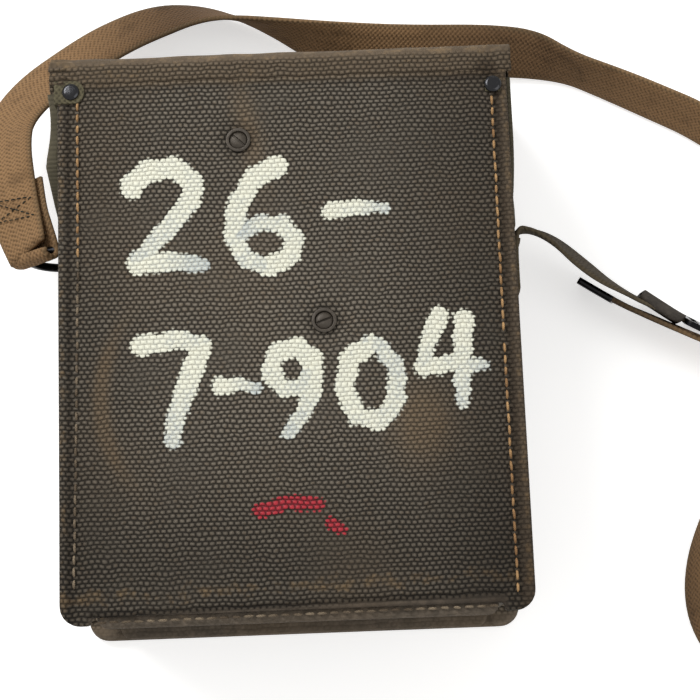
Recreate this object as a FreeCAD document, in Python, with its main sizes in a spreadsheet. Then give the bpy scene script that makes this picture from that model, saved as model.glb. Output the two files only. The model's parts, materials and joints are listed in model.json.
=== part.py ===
"""A magneto field telephone in a stiff canvas case, lying on its front.

+X is across the case, +Y runs up towards its lid, +Z comes out of its back.
The origin is on the surface it lies on, under the middle of the case.
"""
import FreeCAD
import Part
import Sketcher

import math
import os

SIZES = {
    # Canvas case
    "case_width": 190.5,
    "case_height": 241.3,
    "case_depth": 88.9,
    "canvas": 2.6,
    "flange_overhang": 6.5,
    "tab_corner": 8.5,
    "tab_width": 12.8,
    "tab_drop": 1.2,
    "panel_short": 4.6,
    "side_lip_short": 8.5,
    "bottom_lip_side": 14.5,
    "wall_corner": 5.0,
    "welt_width": 7.0,
    "welt_top": 50.0,
    "wall_top_gap": 0.8,
    # Lid
    "roll_radius": 6.0,
    "fold_gap": 0.3,
    "ear_gap": 2.0,
    "lid_reach": 64.6,
    "ear_corner": 26.0,
    "binding_wrap": 1.4,
    "binding_width": 8.0,
    "front_gap": 0.3,
    "snap_radius": 7.5,
    "snap_inset": 16.0,
    # Rivets and back screws
    "rivet_radius": 3.3,
    "rivet_inset": 6.0,
    "left_rivet_drop": 9.9,
    "right_rivet_drop": 13.3,
    "rivet_head": 1.6,
    "rivet_shank": 1.3,
    "washer_radius": 4.6,
    "washer_wall": 0.7,
    "screw_head_radius": 3.6,
    "screw_radius": 2.0,
    "screw_slot": 0.9,
    "screw_left": -19.0,
    "screw_left_up": 81.2,
    "screw_right": 14.5,
    "screw_right_up": 2.0,
    # Strap rings
    "ring_up": 44.0,
    "ring_middle": 45.0,
    "ring_wire": 1.9,
    "ring_bow": 15.0,
    "ring_leg": 8.0,
    "chape_thick": 1.2,
    "chape_play": 0.25,
    "chape_long": 30.0,
    "chape_width": 25.0,
    "right_ring_splay": 8.0,
    # Chassis
    "sheet_steel": 1.3,
    "chassis_gap": 0.3,
    "chassis_left": -84.5,
    "chassis_flange": 12.0,
    "partition_at": 23.0,
    "partition_gap": 1.2,
    "chassis_foot_gap": 2.85,
    "deck_drop": 11.85,
    "deck_thick": 3.0,
    "boss_radius": 4.5,
    "boss_height": 6.0,
    # Generator
    "shaft_rise": 65.85,
    "shaft_middle": 42.0,
    "shaft_radius": 4.0,
    "shaft_play": 0.05,
    "gear_module": 1.25,
    "gear_teeth": 48,
    "pinion_teeth": 12,
    "gear_thick": 5.0,
    "gear_at": -72.0,
    "gear_backlash": 0.25,
    "plate_thick": 2.0,
    "left_plate_at": -64.0,
    "right_plate_at": -17.0,
    "plate_margin": 1.5,
    "armature_radius": 13.5,
    "armature_gap": 0.5,
    "armature_shaft": 3.0,
    "web_thick": 7.0,
    "magnet_count": 3,
    "magnet_wide": 12.0,
    "magnet_thick": 8.0,
    "magnet_gap": 1.5,
    "magnet_inner": 18.0,
    # Crank
    "crank_radius": 55.0,
    "crank_rest": 40.0,
    "crank_gap": 0.65,
    "arm_thick": 1.9,
    "arm_width": 13.0,
    "grip_radius": 3.8,
    "grip_long": 38.0,
    "grip_pin": 1.5,
    "arm_slot_side": 0.5,
    "bush_radius": 7.5,
    "bush_flange": 10.5,
    "bush_lip": 1.4,
    # Ringer
    "ringer_plate_at": 18.0,
    "ringer_left": -82.0,
    "ringer_right": -18.0,
    "ringer_works_gap": 8.0,
    "ringer_deck_gap": 4.0,
    "coil_radius": 9.0,
    "coil_long": 26.0,
    "coil_core": 3.5,
    "coil_spread": 24.0,
    "gong_radius": 14.5,
    "gong_height": 9.0,
    "gong_wall": 1.0,
    "gong_drop": 20.0,
    "clapper_ball": 2.6,
    "clapper_play": 1.0,
    "pillar_radius": 2.5,
    # Battery
    "cell_radius": 16.4,
    "cell_long": 58.0,
    "cell_gap": 0.4,
    "tube_wall": 1.0,
    "tube_middle": 28.0,
    "cap_head": 4.5,
    # Deck pieces
    "post_radius": 5.5,
    "post_stroke": 2.5,
    "post_left": -62.0,
    "post_right": -38.0,
    "post_middle": 62.0,
    "switch_at": -14.0,
    "switch_radius": 5.0,
    # Coil and capacitor
    "spool_radius": 11.0,
    "spool_long": 58.0,
    "cheek_side": 26.0,
    "capacitor_long": 44.0,
    "capacitor_wide": 30.0,
    "capacitor_high": 17.0,
    # Handset
    "handset_at": 54.5,
    "cap_radius": 27.5,
    "cup_radius": 25.5,
    "cap_depth": 13.0,
    "cup_depth": 15.0,
    "handle_wide": 25.0,
    "handle_thick": 15.0,
    "receiver_drop": 43.85,
    "seat_gap": 0.3,
    "back_gap": 2.0,
    "talk_long": 46.0,
    "talk_wide": 11.0,
    "talk_stroke": 2.0,
    # Strap
    "strap_width": 25.0,
    "strap_thick": 2.2,
    "strap_clear": 0.4,
    "eye_inset": 0.06,
}


class Length:
    """A length that knows its value and the sheet formula behind it."""

    def __init__(self, value, text):
        self.value = float(value)
        self.text = text

    def __add__(self, other):
        return joined(self, other, "+", self.value + number(other))

    def __radd__(self, other):
        return joined(other, self, "+", number(other) + self.value)

    def __sub__(self, other):
        return joined(self, other, "-", self.value - number(other))

    def __rsub__(self, other):
        return joined(other, self, "-", number(other) - self.value)

    def __mul__(self, other):
        return joined(self, other, "*", self.value * number(other))

    def __rmul__(self, other):
        return joined(other, self, "*", number(other) * self.value)

    def __truediv__(self, other):
        return joined(self, other, "/", self.value / number(other))

    def __neg__(self):
        return Length(-self.value, f"(-{self.text})")

    def sine(self):
        """The sine of this angle in degrees."""
        return Length(math.sin(math.radians(self.value)), f"sin({self.text} * 1deg)")

    def cosine(self):
        """The cosine of this angle in degrees."""
        return Length(math.cos(math.radians(self.value)), f"cos({self.text} * 1deg)")


def number(size):
    return size.value if isinstance(size, Length) else float(size)


def formula(size):
    return size.text if isinstance(size, Length) else repr(float(size))


def joined(left, right, sign, value):
    return Length(value, f"({formula(left)} {sign} {formula(right)})")


doc = FreeCAD.newDocument("FieldTelephone")
sheet = doc.addObject("Spreadsheet::Sheet", "Sizes")
for row, (alias, value) in enumerate(SIZES.items(), start=1):
    sheet.set(f"A{row}", alias)
    sheet.set(f"B{row}", str(value))
    sheet.setAlias(f"B{row}", alias)
doc.recompute()


def size(alias):
    """The driving size with this alias."""
    return Length(SIZES[alias], f"Sizes.{alias}")


PARTS = {}


def keep(name, piece):
    """Name a finished sub-part; its label is its file's name."""
    piece.Label = name
    PARTS[name] = piece
    return piece


def bind(piece, prop, amount):
    """Bind one property to its sheet formula."""
    piece.setExpression(prop, formula(amount))


def put(piece, x, y, z, rotation=None):
    """Place a piece, with its position bound to the sheet."""
    if rotation is not None:
        piece.Placement = FreeCAD.Placement(FreeCAD.Vector(), rotation)
    bind(piece, "Placement.Base.x", x)
    bind(piece, "Placement.Base.y", y)
    bind(piece, "Placement.Base.z", z)
    return piece


AXIS_TURNS = {
    "x": FreeCAD.Rotation(FreeCAD.Vector(0, 1, 0), 90),
    "y": FreeCAD.Rotation(FreeCAD.Vector(1, 0, 0), -90),
    "z": FreeCAD.Rotation(),
}


def on_axis(axis, start, across):
    """The point at start along an axis; across holds its two other coordinates, in XYZ order."""
    first, second = across
    return {"x": (start, first, second), "y": (first, start, second), "z": (first, second, start)}[axis]


def block(name, x, y, z):
    """A box between two values on each axis."""
    piece = doc.addObject("Part::Box", name)
    bind(piece, "Length", x[1] - x[0])
    bind(piece, "Width", y[1] - y[0])
    bind(piece, "Height", z[1] - z[0])
    return put(piece, x[0], y[0], z[0])


def rod(name, axis, radius, along, across):
    """A round bar along an axis."""
    piece = doc.addObject("Part::Cylinder", name)
    bind(piece, "Radius", radius)
    bind(piece, "Height", along[1] - along[0])
    return put(piece, *on_axis(axis, along[0], across), AXIS_TURNS[axis])


def taper(name, axis, radii, along, across):
    """A cone along an axis."""
    piece = doc.addObject("Part::Cone", name)
    bind(piece, "Radius1", radii[0])
    bind(piece, "Radius2", radii[1])
    bind(piece, "Height", along[1] - along[0])
    return put(piece, *on_axis(axis, along[0], across), AXIS_TURNS[axis])


def ball(name, radius, x, y, z):
    piece = doc.addObject("Part::Sphere", name)
    bind(piece, "Radius", radius)
    return put(piece, x, y, z)


def cut(name, base, *tools):
    piece = doc.addObject("Part::Cut", name)
    piece.Base = base
    piece.Tool = tools[0] if len(tools) == 1 else fuse(name + "Tools", *tools)
    return piece


def fuse(name, *pieces, refine=True):
    piece = doc.addObject("Part::MultiFuse", name)
    piece.Shapes = list(pieces)
    piece.Refine = refine
    return piece


def common(name, *pieces):
    piece = doc.addObject("Part::MultiCommon", name)
    piece.Shapes = list(pieces)
    return piece


def mirrored(name, source):
    """The same piece on the other side of the case."""
    piece = doc.addObject("Part::Mirroring", name)
    piece.Source = source
    piece.Normal = FreeCAD.Vector(1, 0, 0)
    return piece


def group(name, *pieces):
    """Separate solids of one sub-part."""
    piece = doc.addObject("Part::Compound", name)
    piece.Links = list(pieces)
    return piece


PLANES = {"z": "XY_Plane", "y": "XZ_Plane", "x": "YZ_Plane"}


def outline(body, axis, start, points):
    """A closed sketch of straight edges, square to an axis, with each corner bound to the sheet."""
    origin = {feature.Role: feature for feature in body.Origin.OriginFeatures}
    sketch = body.newObject("Sketcher::SketchObject", body.Name + "Outline")
    sketch.AttachmentSupport = (origin[PLANES[axis]], [""])
    sketch.MapMode = "FlatFace"
    bind(sketch, "AttachmentOffset.Base.z", start)
    corners = [FreeCAD.Vector(number(u), number(v), 0) for u, v in points]
    count = len(corners)
    for index, corner in enumerate(corners):
        sketch.addGeometry(Part.LineSegment(corner, corners[(index + 1) % count]))
    for index in range(count):
        sketch.addConstraint(Sketcher.Constraint("Coincident", index, 2, (index + 1) % count, 1))
    for index, (u, v) in enumerate(points):
        for direction, amount in (("DistanceX", u), ("DistanceY", v)):
            made = sketch.addConstraint(
                Sketcher.Constraint(direction, -1, 1, index, 1, number(amount))
            )
            if isinstance(amount, Length):
                sketch.setExpression(f"Constraints[{made}]", amount.text)
    return sketch


def corner_edges(shape, axis, u, v):
    """The names of the edges that run along an axis through one corner of an outline."""
    found = []
    for index, edge in enumerate(shape.Edges, start=1):
        ends = [on_plane(vertex.Point, axis) for vertex in edge.Vertexes]
        if len(ends) == 2 and all(math.dist(end, (number(u), number(v))) < 0.01 for end in ends):
            found.append(f"Edge{index}")
    return found


def on_plane(point, axis):
    return {"x": (point.y, point.z), "y": (point.x, point.z), "z": (point.x, point.y)}[axis]


def extrude(name, axis, points, along, rounds=()):
    """A padded outline. rounds holds (radius, corner numbers) pairs."""
    body = doc.addObject("PartDesign::Body", name)
    start = -along[1] if axis == "y" else along[0]
    sketch = outline(body, axis, start, points)
    pad = body.newObject("PartDesign::Pad", name + "Pad")
    pad.Profile = sketch
    bind(pad, "Length", along[1] - along[0])
    doc.recompute()
    solid = pad
    for turn, (radius, corners) in enumerate(rounds):
        edges = []
        for corner in corners:
            edges += corner_edges(solid.Shape, axis, *points[corner])
        rounding = body.newObject("PartDesign::Fillet", f"{name}Round{turn}")
        rounding.Base = (solid, edges)
        bind(rounding, "Radius", radius)
        doc.recompute()
        solid = rounding
    return body


def turned(name, axis, across, profile):
    """A revolved profile of (radius, along) corners about a line parallel to an axis."""
    body = doc.addObject("PartDesign::Body", name)
    sketch = outline(body, "y", 0.0, profile)
    spin = body.newObject("PartDesign::Revolution", name + "Spin")
    spin.Profile = sketch
    spin.ReferenceAxis = (sketch, ["V_Axis"])
    spin.Angle = 360
    turn = {"x": FreeCAD.Rotation(FreeCAD.Vector(0, 1, 0), 90), "y": AXIS_TURNS["y"], "z": AXIS_TURNS["z"]}
    return put(body, *on_axis(axis, 0.0, across), turn[axis])


# Places that several pieces share
half_width = size("case_width") / 2
half_height = size("case_height") / 2
canvas = size("canvas")
wall_out = half_width - size("flange_overhang")
wall_in = wall_out - canvas
bottom_out = -(half_height - size("flange_overhang") - 0.7)
bottom_in = bottom_out + canvas
back_out = size("case_depth")
back_in = back_out - canvas
front_out = size("binding_wrap") * 2 + canvas + size("front_gap")
front_in = front_out + canvas
hinge_y = half_height - size("roll_radius")
hinge_z = back_out - size("roll_radius")
wall_top = hinge_y - size("roll_radius") - size("wall_top_gap")
tab_in = half_width - size("tab_width")
tab_low = -(half_height - size("tab_drop"))
panel_low = -(half_height - size("panel_short"))
chassis_low = bottom_in + size("chassis_foot_gap")
deck_up = wall_top - size("deck_drop")
shaft_up = bottom_in + size("shaft_rise")


def case_canvas():
    """The back, the wall strip with its turned-out lips, and the front."""
    panel = extrude(
        "BackSheet", "z",
        [(-half_width, hinge_y), (-half_width, tab_low), (-tab_in, tab_low), (-tab_in, panel_low),
         (tab_in, panel_low), (tab_in, tab_low), (half_width, tab_low), (half_width, hinge_y)],
        (back_in, back_out),
        [(size("tab_corner"), (1, 6)), (1.5, (2, 5))],
    )
    fold = rod("FoldRoom", "x", size("roll_radius") + size("fold_gap"), (-half_width - 1, half_width + 1),
               (hinge_y, hinge_z))
    screws = [
        rod(f"WasherRoom{index}", "z", size("washer_radius"), (back_in - 1, back_out + 1), place)
        for index, place in enumerate(screw_places())
    ]
    rivets = [
        rod(f"{side}RivetHole", "z", size("rivet_shank") + 0.02, (back_in - 5, back_out + 1), place)
        for side, place in rivet_places.items()
    ]
    keep("back_panel", cut("BackPanel", panel, fold, *screws, *rivets))

    strip = extrude(
        "WallStrip", "z",
        [(-wall_out, wall_top), (-wall_out, bottom_out), (wall_out, bottom_out), (wall_out, wall_top),
         (wall_in, wall_top), (wall_in, bottom_in), (-wall_in, bottom_in), (-wall_in, wall_top)],
        (front_in, back_in),
        [(size("wall_corner"), (1, 2)), (size("wall_corner") - canvas, (5, 6))],
    )
    lips = []
    side_low = -(half_height - size("side_lip_short"))
    lip_side = half_width - size("bottom_lip_side")
    for level, low in (("Back", back_in - canvas), ("Front", front_in)):
        for side, (inner, outer) in {"Left": (-half_width, -wall_in), "Right": (wall_in, half_width)}.items():
            lips.append(block(f"{level}{side}Lip", (inner, outer), (side_low, wall_top), (low, low + canvas)))
        lips.append(
            extrude(f"{level}BottomLip", "z",
                    [(-lip_side, bottom_in), (-lip_side, -half_height), (lip_side, -half_height),
                     (lip_side, bottom_in)],
                    (low, low + canvas), [(5.0, (1, 2))])
        )
    hole = rod("BushHole", "x", size("bush_radius"), (-wall_out - 1, -wall_in + 1),
               (shaft_up, size("shaft_middle")))
    keep("wall_strip", cut("CaseWall", fuse("WallAndLips", strip, *lips), hole, *rivets))

    front = extrude(
        "FrontSheet", "z",
        [(-half_width, wall_top), (-half_width, tab_low), (-tab_in, tab_low), (-tab_in, panel_low),
         (tab_in, panel_low), (tab_in, tab_low), (half_width, tab_low), (half_width, wall_top)],
        (front_out, front_in),
        [(size("tab_corner"), (1, 6)), (1.5, (2, 5))],
    )
    welt_in = half_width - size("welt_width")
    welt_low = -half_height + size("welt_width")
    welt = extrude(
        "FrontWelt", "z",
        [(-half_width, size("welt_top")), (-half_width, -half_height), (half_width, -half_height),
         (half_width, size("welt_top")), (welt_in, size("welt_top")), (welt_in, welt_low),
         (-welt_in, welt_low), (-welt_in, size("welt_top"))],
        (0.0, front_out),
        [(size("tab_corner"), (1, 2)), (3.0, (0, 3, 4, 7))],
    )
    keep("front_panel", fuse("FrontPanel", front, welt))


def screw_places():
    return [(size("screw_left"), size("screw_left_up")), (size("screw_right"), size("screw_right_up"))]


def back_fasteners():
    """The two slotted screws in cup washers that hold the works, and the corner rivets."""
    head_low = back_in + size("washer_wall")
    washers = []
    screws = []
    radius = size("washer_radius")
    wall = size("washer_wall")
    boss_floor = chassis_back - size("sheet_steel") - size("boss_height")
    for index, (x, y) in enumerate(screw_places()):
        washers.append(turned(
            f"Cup{index}", "z", (x, y),
            [(size("screw_radius") + 0.05, back_in), (radius - 0.02, back_in), (radius - 0.02, back_out),
             (radius + 0.6, back_out), (radius + 0.6, back_out + 0.5), (radius - wall, back_out + 0.5),
             (size("screw_head_radius") + 0.1, head_low), (size("screw_radius") + 0.05, head_low)],
        ))
        head = turned(
            f"Screw{index}Turned", "z", (x, y),
            [(0.0, boss_floor), (size("screw_radius"), boss_floor), (size("screw_radius"), head_low),
             (size("screw_head_radius"), head_low), (size("screw_head_radius"), back_out - 0.4),
             (size("screw_head_radius") * 0.6, back_out + 0.3), (0.0, back_out + 0.5)],
        )
        slot = block(f"Slot{index}", (x - radius, x + radius),
                     (y - size("screw_slot") / 2, y + size("screw_slot") / 2),
                     (back_out - 0.7, back_out + 1))
        screws.append(cut(f"Screw{index}", head, slot))
    keep("cup_washers", group("CupWashers", *washers))
    keep("back_screws", group("BackScrews", *screws))

    rivets = [
        turned(
            f"{side}Rivet", "z", place,
            [(0.0, back_in - canvas), (size("rivet_shank"), back_in - canvas),
             (size("rivet_shank"), rivet_seat), (size("rivet_radius"), rivet_seat),
             (size("rivet_radius") * 0.94, rivet_seat + size("rivet_head") * 0.45),
             (size("rivet_radius") * 0.6, rivet_seat + size("rivet_head") * 0.9),
             (0.0, rivet_seat + size("rivet_head"))],
        )
        for side, place in rivet_places.items()
    ]
    keep("corner_rivets", group("CornerRivets", *rivets))


rivet_out = half_width - size("rivet_inset")
rivet_places = {
    "Left": (-rivet_out, hinge_y - size("left_rivet_drop")),
    "Right": (rivet_out, hinge_y - size("right_rivet_drop")),
}
rivet_seat = back_out + size("chape_thick")
chassis_back = back_in - size("chassis_gap")


def corner_tabs():
    """The webbing tabs under the two corner rivets, wrapped round the panel's edge."""
    high = half_width + size("chape_thick")
    inner = half_width - size("rivet_inset") * 2
    tabs = {}
    for side, (_, up) in rivet_places.items():
        wrap = extrude(
            f"{side}TabWrap", "y",
            [(-inner, back_out), (-inner, rivet_seat), (-high, rivet_seat),
             (-high, back_in - canvas + 0.3), (-half_width, back_in - canvas + 0.3), (-half_width, back_out)],
            (up - 5.0, up + 5.0),
        )
        hole = rod(f"{side}TabHole", "z", size("rivet_shank"), (back_out - 1, rivet_seat + 1),
                   (-rivet_out, up))
        fold = rod(f"{side}TabFoldRoom", "x", size("roll_radius") + size("fold_gap"), (-high - 1, 0.0),
                   (hinge_y, hinge_z))
        tabs[side] = cut(f"{side}TabCut", wrap, hole, fold)
    keep("corner_tabs", group("CornerTabs", tabs["Left"], mirrored("RightTab", tabs["Right"])))


def lid():
    """The canvas lid: roll, top, front skirt and side ears, with its binding and snap."""
    inner = half_width + size("ear_gap")
    outer = inner + canvas
    low = half_height - size("lid_reach")
    floor = size("binding_wrap")
    skirt_in = floor + canvas
    top_in = half_height - canvas
    shell = extrude(
        "LidBlock", "x",
        [(low, floor), (half_height, floor), (half_height, hinge_z), (low, hinge_z)],
        (-outer, outer),
        [(size("ear_corner"), (3,)), (2.4, (1,))],
    )
    room = block("LidRoom", (-inner, inner), (low - 10, top_in), (skirt_in, hinge_z + 10))
    roll = rod("RollOuter", "x", size("roll_radius"), (-outer, outer), (hinge_y, hinge_z))
    core = rod("RollInner", "x", size("roll_radius") - canvas, (-outer - 1, outer + 1), (hinge_y, hinge_z))
    quarter = block("RollQuarter", (-outer - 1, outer + 1), (hinge_y, half_height + 1),
                    (hinge_z, back_out + 1))
    fold = common("RollFold", cut("RollShell", roll, core), quarter)
    keep("lid_panel", fuse("LidPanel", cut("LidShell", shell, room), fold))

    wrap = size("binding_wrap")
    width = size("binding_width")
    ears = []
    ear_bands = {"Left": (-outer - wrap, -inner + wrap), "Right": (inner - wrap, outer + wrap)}
    for side, (near, far) in ear_bands.items():
        outside = extrude(
            f"{side}BindingOuter", "x",
            [(low - 0.8, 0.0), (hinge_y - 8, 0.0), (hinge_y - 8, hinge_z + 0.8), (low - 0.8, hinge_z + 0.8)],
            (near, far), [(size("ear_corner") + 0.8, (3,))],
        )
        inside = extrude(
            f"{side}BindingInner", "x",
            [(low + width, -1.0), (hinge_y, -1.0), (hinge_y, hinge_z - width),
             (low + width, hinge_z - width)],
            (near - 1, far + 1), [(size("ear_corner") - width, (3,))],
        )
        ears.append(cut(f"{side}EarBinding", outside, inside))
    skirt = block("SkirtBinding", (-outer, outer), (low - 0.8, low + width), (0.0, skirt_in + wrap))
    room = block("BindingRoom", (-inner + wrap, inner - wrap), (low - 10, top_in),
                 (skirt_in + wrap, hinge_z + 10))
    solid = extrude(
        "BindingRoomEar", "x",
        [(low, floor), (half_height, floor), (half_height, hinge_z), (low, hinge_z)],
        (-outer, outer), [(size("ear_corner"), (3,))],
    )
    void = block("BindingRoomLid", (-inner, inner), (low - 20, top_in + 5), (skirt_in, hinge_z + 20))
    cloth = cut("BindingCloth", solid, void)
    keep("lid_binding", cut("LidBinding", fuse("BindingStrips", skirt, *ears), room, cloth))

    snap_y = low + size("snap_inset")
    keep("snap_cap", rod("SnapCap", "z", size("snap_radius"), (0.0, floor), (0.0, snap_y)))
    keep("snap_stud", turned(
        "SnapStud", "z", (0.0, snap_y),
        [(0.0, skirt_in + 0.2), (3.0, skirt_in + 0.2), (3.0, skirt_in + 0.9),
         (size("snap_radius") * 0.7, front_out), (0.0, front_out)],
    ))


ring_pivot = wall_out + size("chape_thick") + size("chape_play") + size("ring_wire")
LEFT_RING = (-ring_pivot, -1.0, 0.0)
RIGHT_RING = (ring_pivot, size("right_ring_splay").sine(), -size("right_ring_splay").cosine())


def wire_ring(name, at, out_x, out_y, extra=0.0):
    """A D ring of one wire: a straight bar, two legs and a half-round bow."""
    thick = size("ring_wire") + extra
    bow = size("ring_bow")
    leg = size("ring_leg")
    middle = size("ring_middle")
    up = size("ring_up")
    out = FreeCAD.Vector(number(out_x), number(out_y), 0)
    along = FreeCAD.Rotation(FreeCAD.Vector(0, 0, 1), out)
    pieces = [rod(f"{name}Bar", "z", thick, (middle - bow, middle + bow), (at, up))]
    for end, level in (("Low", middle - bow), ("High", middle + bow)):
        pieces.append(ball(f"{name}Corner{end}", thick, at, up, level))
        bar = doc.addObject("Part::Cylinder", f"{name}Leg{end}")
        bind(bar, "Radius", thick)
        bind(bar, "Height", leg)
        pieces.append(put(bar, at, up, level, along))
    arc = doc.addObject("Part::Torus", f"{name}Bow")
    bind(arc, "Radius1", bow)
    bind(arc, "Radius2", thick)
    arc.Angle3 = 180
    upright = FreeCAD.Rotation(FreeCAD.Vector(0, 0, -1), out, FreeCAD.Vector(), "XYZ")
    pieces.append(put(arc, at + leg * out_x, up + leg * out_y, middle, upright))
    return fuse(name, *pieces)


def strap_rings():
    """The two wire rings for the strap and the canvas chapes that hold them."""
    keep("left_ring", wire_ring("LeftRing", *LEFT_RING))
    keep("right_ring", wire_ring("RightRing", *RIGHT_RING))

    pivot = ring_pivot
    middle = size("ring_middle")
    up = size("ring_up")
    thick = size("chape_thick")
    half = size("chape_width") / 2 - 1.0
    long = size("chape_long")
    reach = size("ring_wire") + size("chape_play")
    lengthwise = (up - long / 2, up + long / 2)
    base = block("ChapeBase", (-wall_out - thick, -wall_out), lengthwise, (middle - half, middle + half))
    over = block("ChapeOver", (-wall_out - thick * 2, -wall_out - thick), lengthwise,
                 (middle - half, middle + half))
    loop = rod("ChapeLoop", "z", reach + thick, (middle - half, middle + half), (-pivot, up))
    bore = rod("ChapeBore", "z", reach, (middle - half - 1, middle + half + 1), (-pivot, up))
    chape = cut("LeftChape", fuse("ChapeCloth", base, over, loop), bore,
                block("ChapeWallSide", (-wall_out, -wall_out + 10), (up - long, up + long), (0.0, back_out)))
    keep("ring_chapes", group("RingChapes", chape, mirrored("RightChape", chape)))

    def rivet(name, y):
        return turned(
            name, "x", (y, middle),
            [(0.0, -wall_out - thick * 2), (0.0, -wall_out - thick * 2 - 1.0),
             (2.0, -wall_out - thick * 2 - 0.8), (2.6, -wall_out - thick * 2)],
        )

    heads = [rivet("ChapeRivetLow", up - long / 2 + 5), rivet("ChapeRivetHigh", up + long / 2 - 5)]
    heads += [mirrored(f"Right{head.Name}", head) for head in heads]
    keep("chape_rivets", group("ChapeRivets", *heads))


def chassis():
    """The bent steel frame that carries the works, and the deck at its top."""
    steel = size("sheet_steel")
    left = size("chassis_left")
    low = chassis_low
    deck = deck_up
    part_in = size("partition_at")
    part_foot = front_in + size("partition_gap")
    profile = extrude(
        "ChassisSheet", "y",
        [(left, chassis_back - size("chassis_flange")), (left, chassis_back), (part_in, chassis_back),
         (part_in, part_foot), (part_in - steel, part_foot), (part_in - steel, chassis_back - steel),
         (left + steel, chassis_back - steel), (left + steel, chassis_back - size("chassis_flange"))],
        (low, deck),
        [(2.5, (1, 2)), (1.2, (5, 6))],
    )
    seat = chassis_back - steel
    bosses = [
        rod(f"Boss{index}", "z", size("boss_radius"), (seat - size("boss_height"), seat), place)
        for index, place in enumerate(screw_places())
    ]
    holes = [
        rod(f"BossHole{index}", "z", size("screw_radius") + 0.05, (seat - 20, chassis_back + 1), place)
        for index, place in enumerate(screw_places())
    ]
    window = extrude(
        "ChassisWindow", "x",
        [(-20.0, 40.0), (-90.0, 40.0), (-90.0, 72.0), (-20.0, 72.0)],
        (part_in - steel - 1, part_in + 1), [(8.0, (0, 1, 2, 3))],
    )
    keep("chassis_frame", cut("ChassisFrame", fuse("ChassisSolid", profile, *bosses), *holes, window))

    thick = size("deck_thick")
    plate = block("DeckPlate", (left, part_in), (deck, deck + thick), (part_foot, chassis_back))
    through = (deck - 1, deck + thick + 1)
    post_z = size("post_middle")
    reliefs = [
        rod("DeckTubeHole", "y", tube_radius + 0.2, through, (tube_at, size("tube_middle"))),
        rod("DeckPostHoleLeft", "y", 2.0, through, (size("post_left"), post_z)),
        rod("DeckPostHoleRight", "y", 2.0, through, (size("post_right"), post_z)),
        rod("DeckSwitchHole", "y", 2.6, through, (size("switch_at"), post_z)),
    ]
    keep("deck_plate", cut("Deck", plate, *reliefs))


tube_radius = size("cell_radius") + size("cell_gap") + size("tube_wall")
tube_at = size("partition_at") - size("sheet_steel") - size("seat_gap") - tube_radius
gear_pitch = size("gear_module") * size("gear_teeth") / 2
pinion_pitch = size("gear_module") * size("pinion_teeth") / 2
armature_up = shaft_up - gear_pitch - pinion_pitch
magnet_bend = shaft_up + gear_pitch / 2
works_top = magnet_bend + size("magnet_inner") + size("magnet_thick")


def tooth_corners(teeth, turn):
    """The outline of an involute gear, with its first tooth turned by an angle in radians."""
    module = SIZES["gear_module"]
    pressure = math.radians(20)
    pitch = module * teeth / 2
    base = pitch * math.cos(pressure)
    tip = pitch + module
    root = pitch - 1.2 * module
    half = (math.pi * module / 2 - SIZES["gear_backlash"] / 2) / pitch / 2

    def flank(radius):
        if radius <= base:
            return half + math.tan(pressure) - pressure
        roll = math.sqrt((radius / base) ** 2 - 1)
        return half + math.tan(pressure) - pressure - (roll - math.atan(roll))

    radii = [root, max(root + 0.01, base), pitch, tip]
    corners = []
    for tooth in range(teeth):
        middle = turn + math.tau * tooth / teeth
        corners += [(radius, middle - flank(radius)) for radius in radii]
        corners += [(radius, middle + flank(radius)) for radius in reversed(radii)]
    return [(radius * math.cos(angle), radius * math.sin(angle)) for radius, angle in corners]


def gear_body(name, teeth, turn, along, up, middle):
    """A spur gear blank cut to its teeth; its outline comes from the involute formula."""
    wire = Part.makePolygon([
        FreeCAD.Vector(number(along[0]), number(up) + u, number(middle) + v)
        for u, v in tooth_corners(teeth, turn)
    ] + [FreeCAD.Vector(number(along[0]), number(up) + tooth_corners(teeth, turn)[0][0],
                        number(middle) + tooth_corners(teeth, turn)[0][1])])
    gear = doc.addObject("Part::Feature", name)
    gear.Shape = Part.Face(wire).extrude(FreeCAD.Vector(number(along[1]) - number(along[0]), 0, 0))
    return gear


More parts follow.
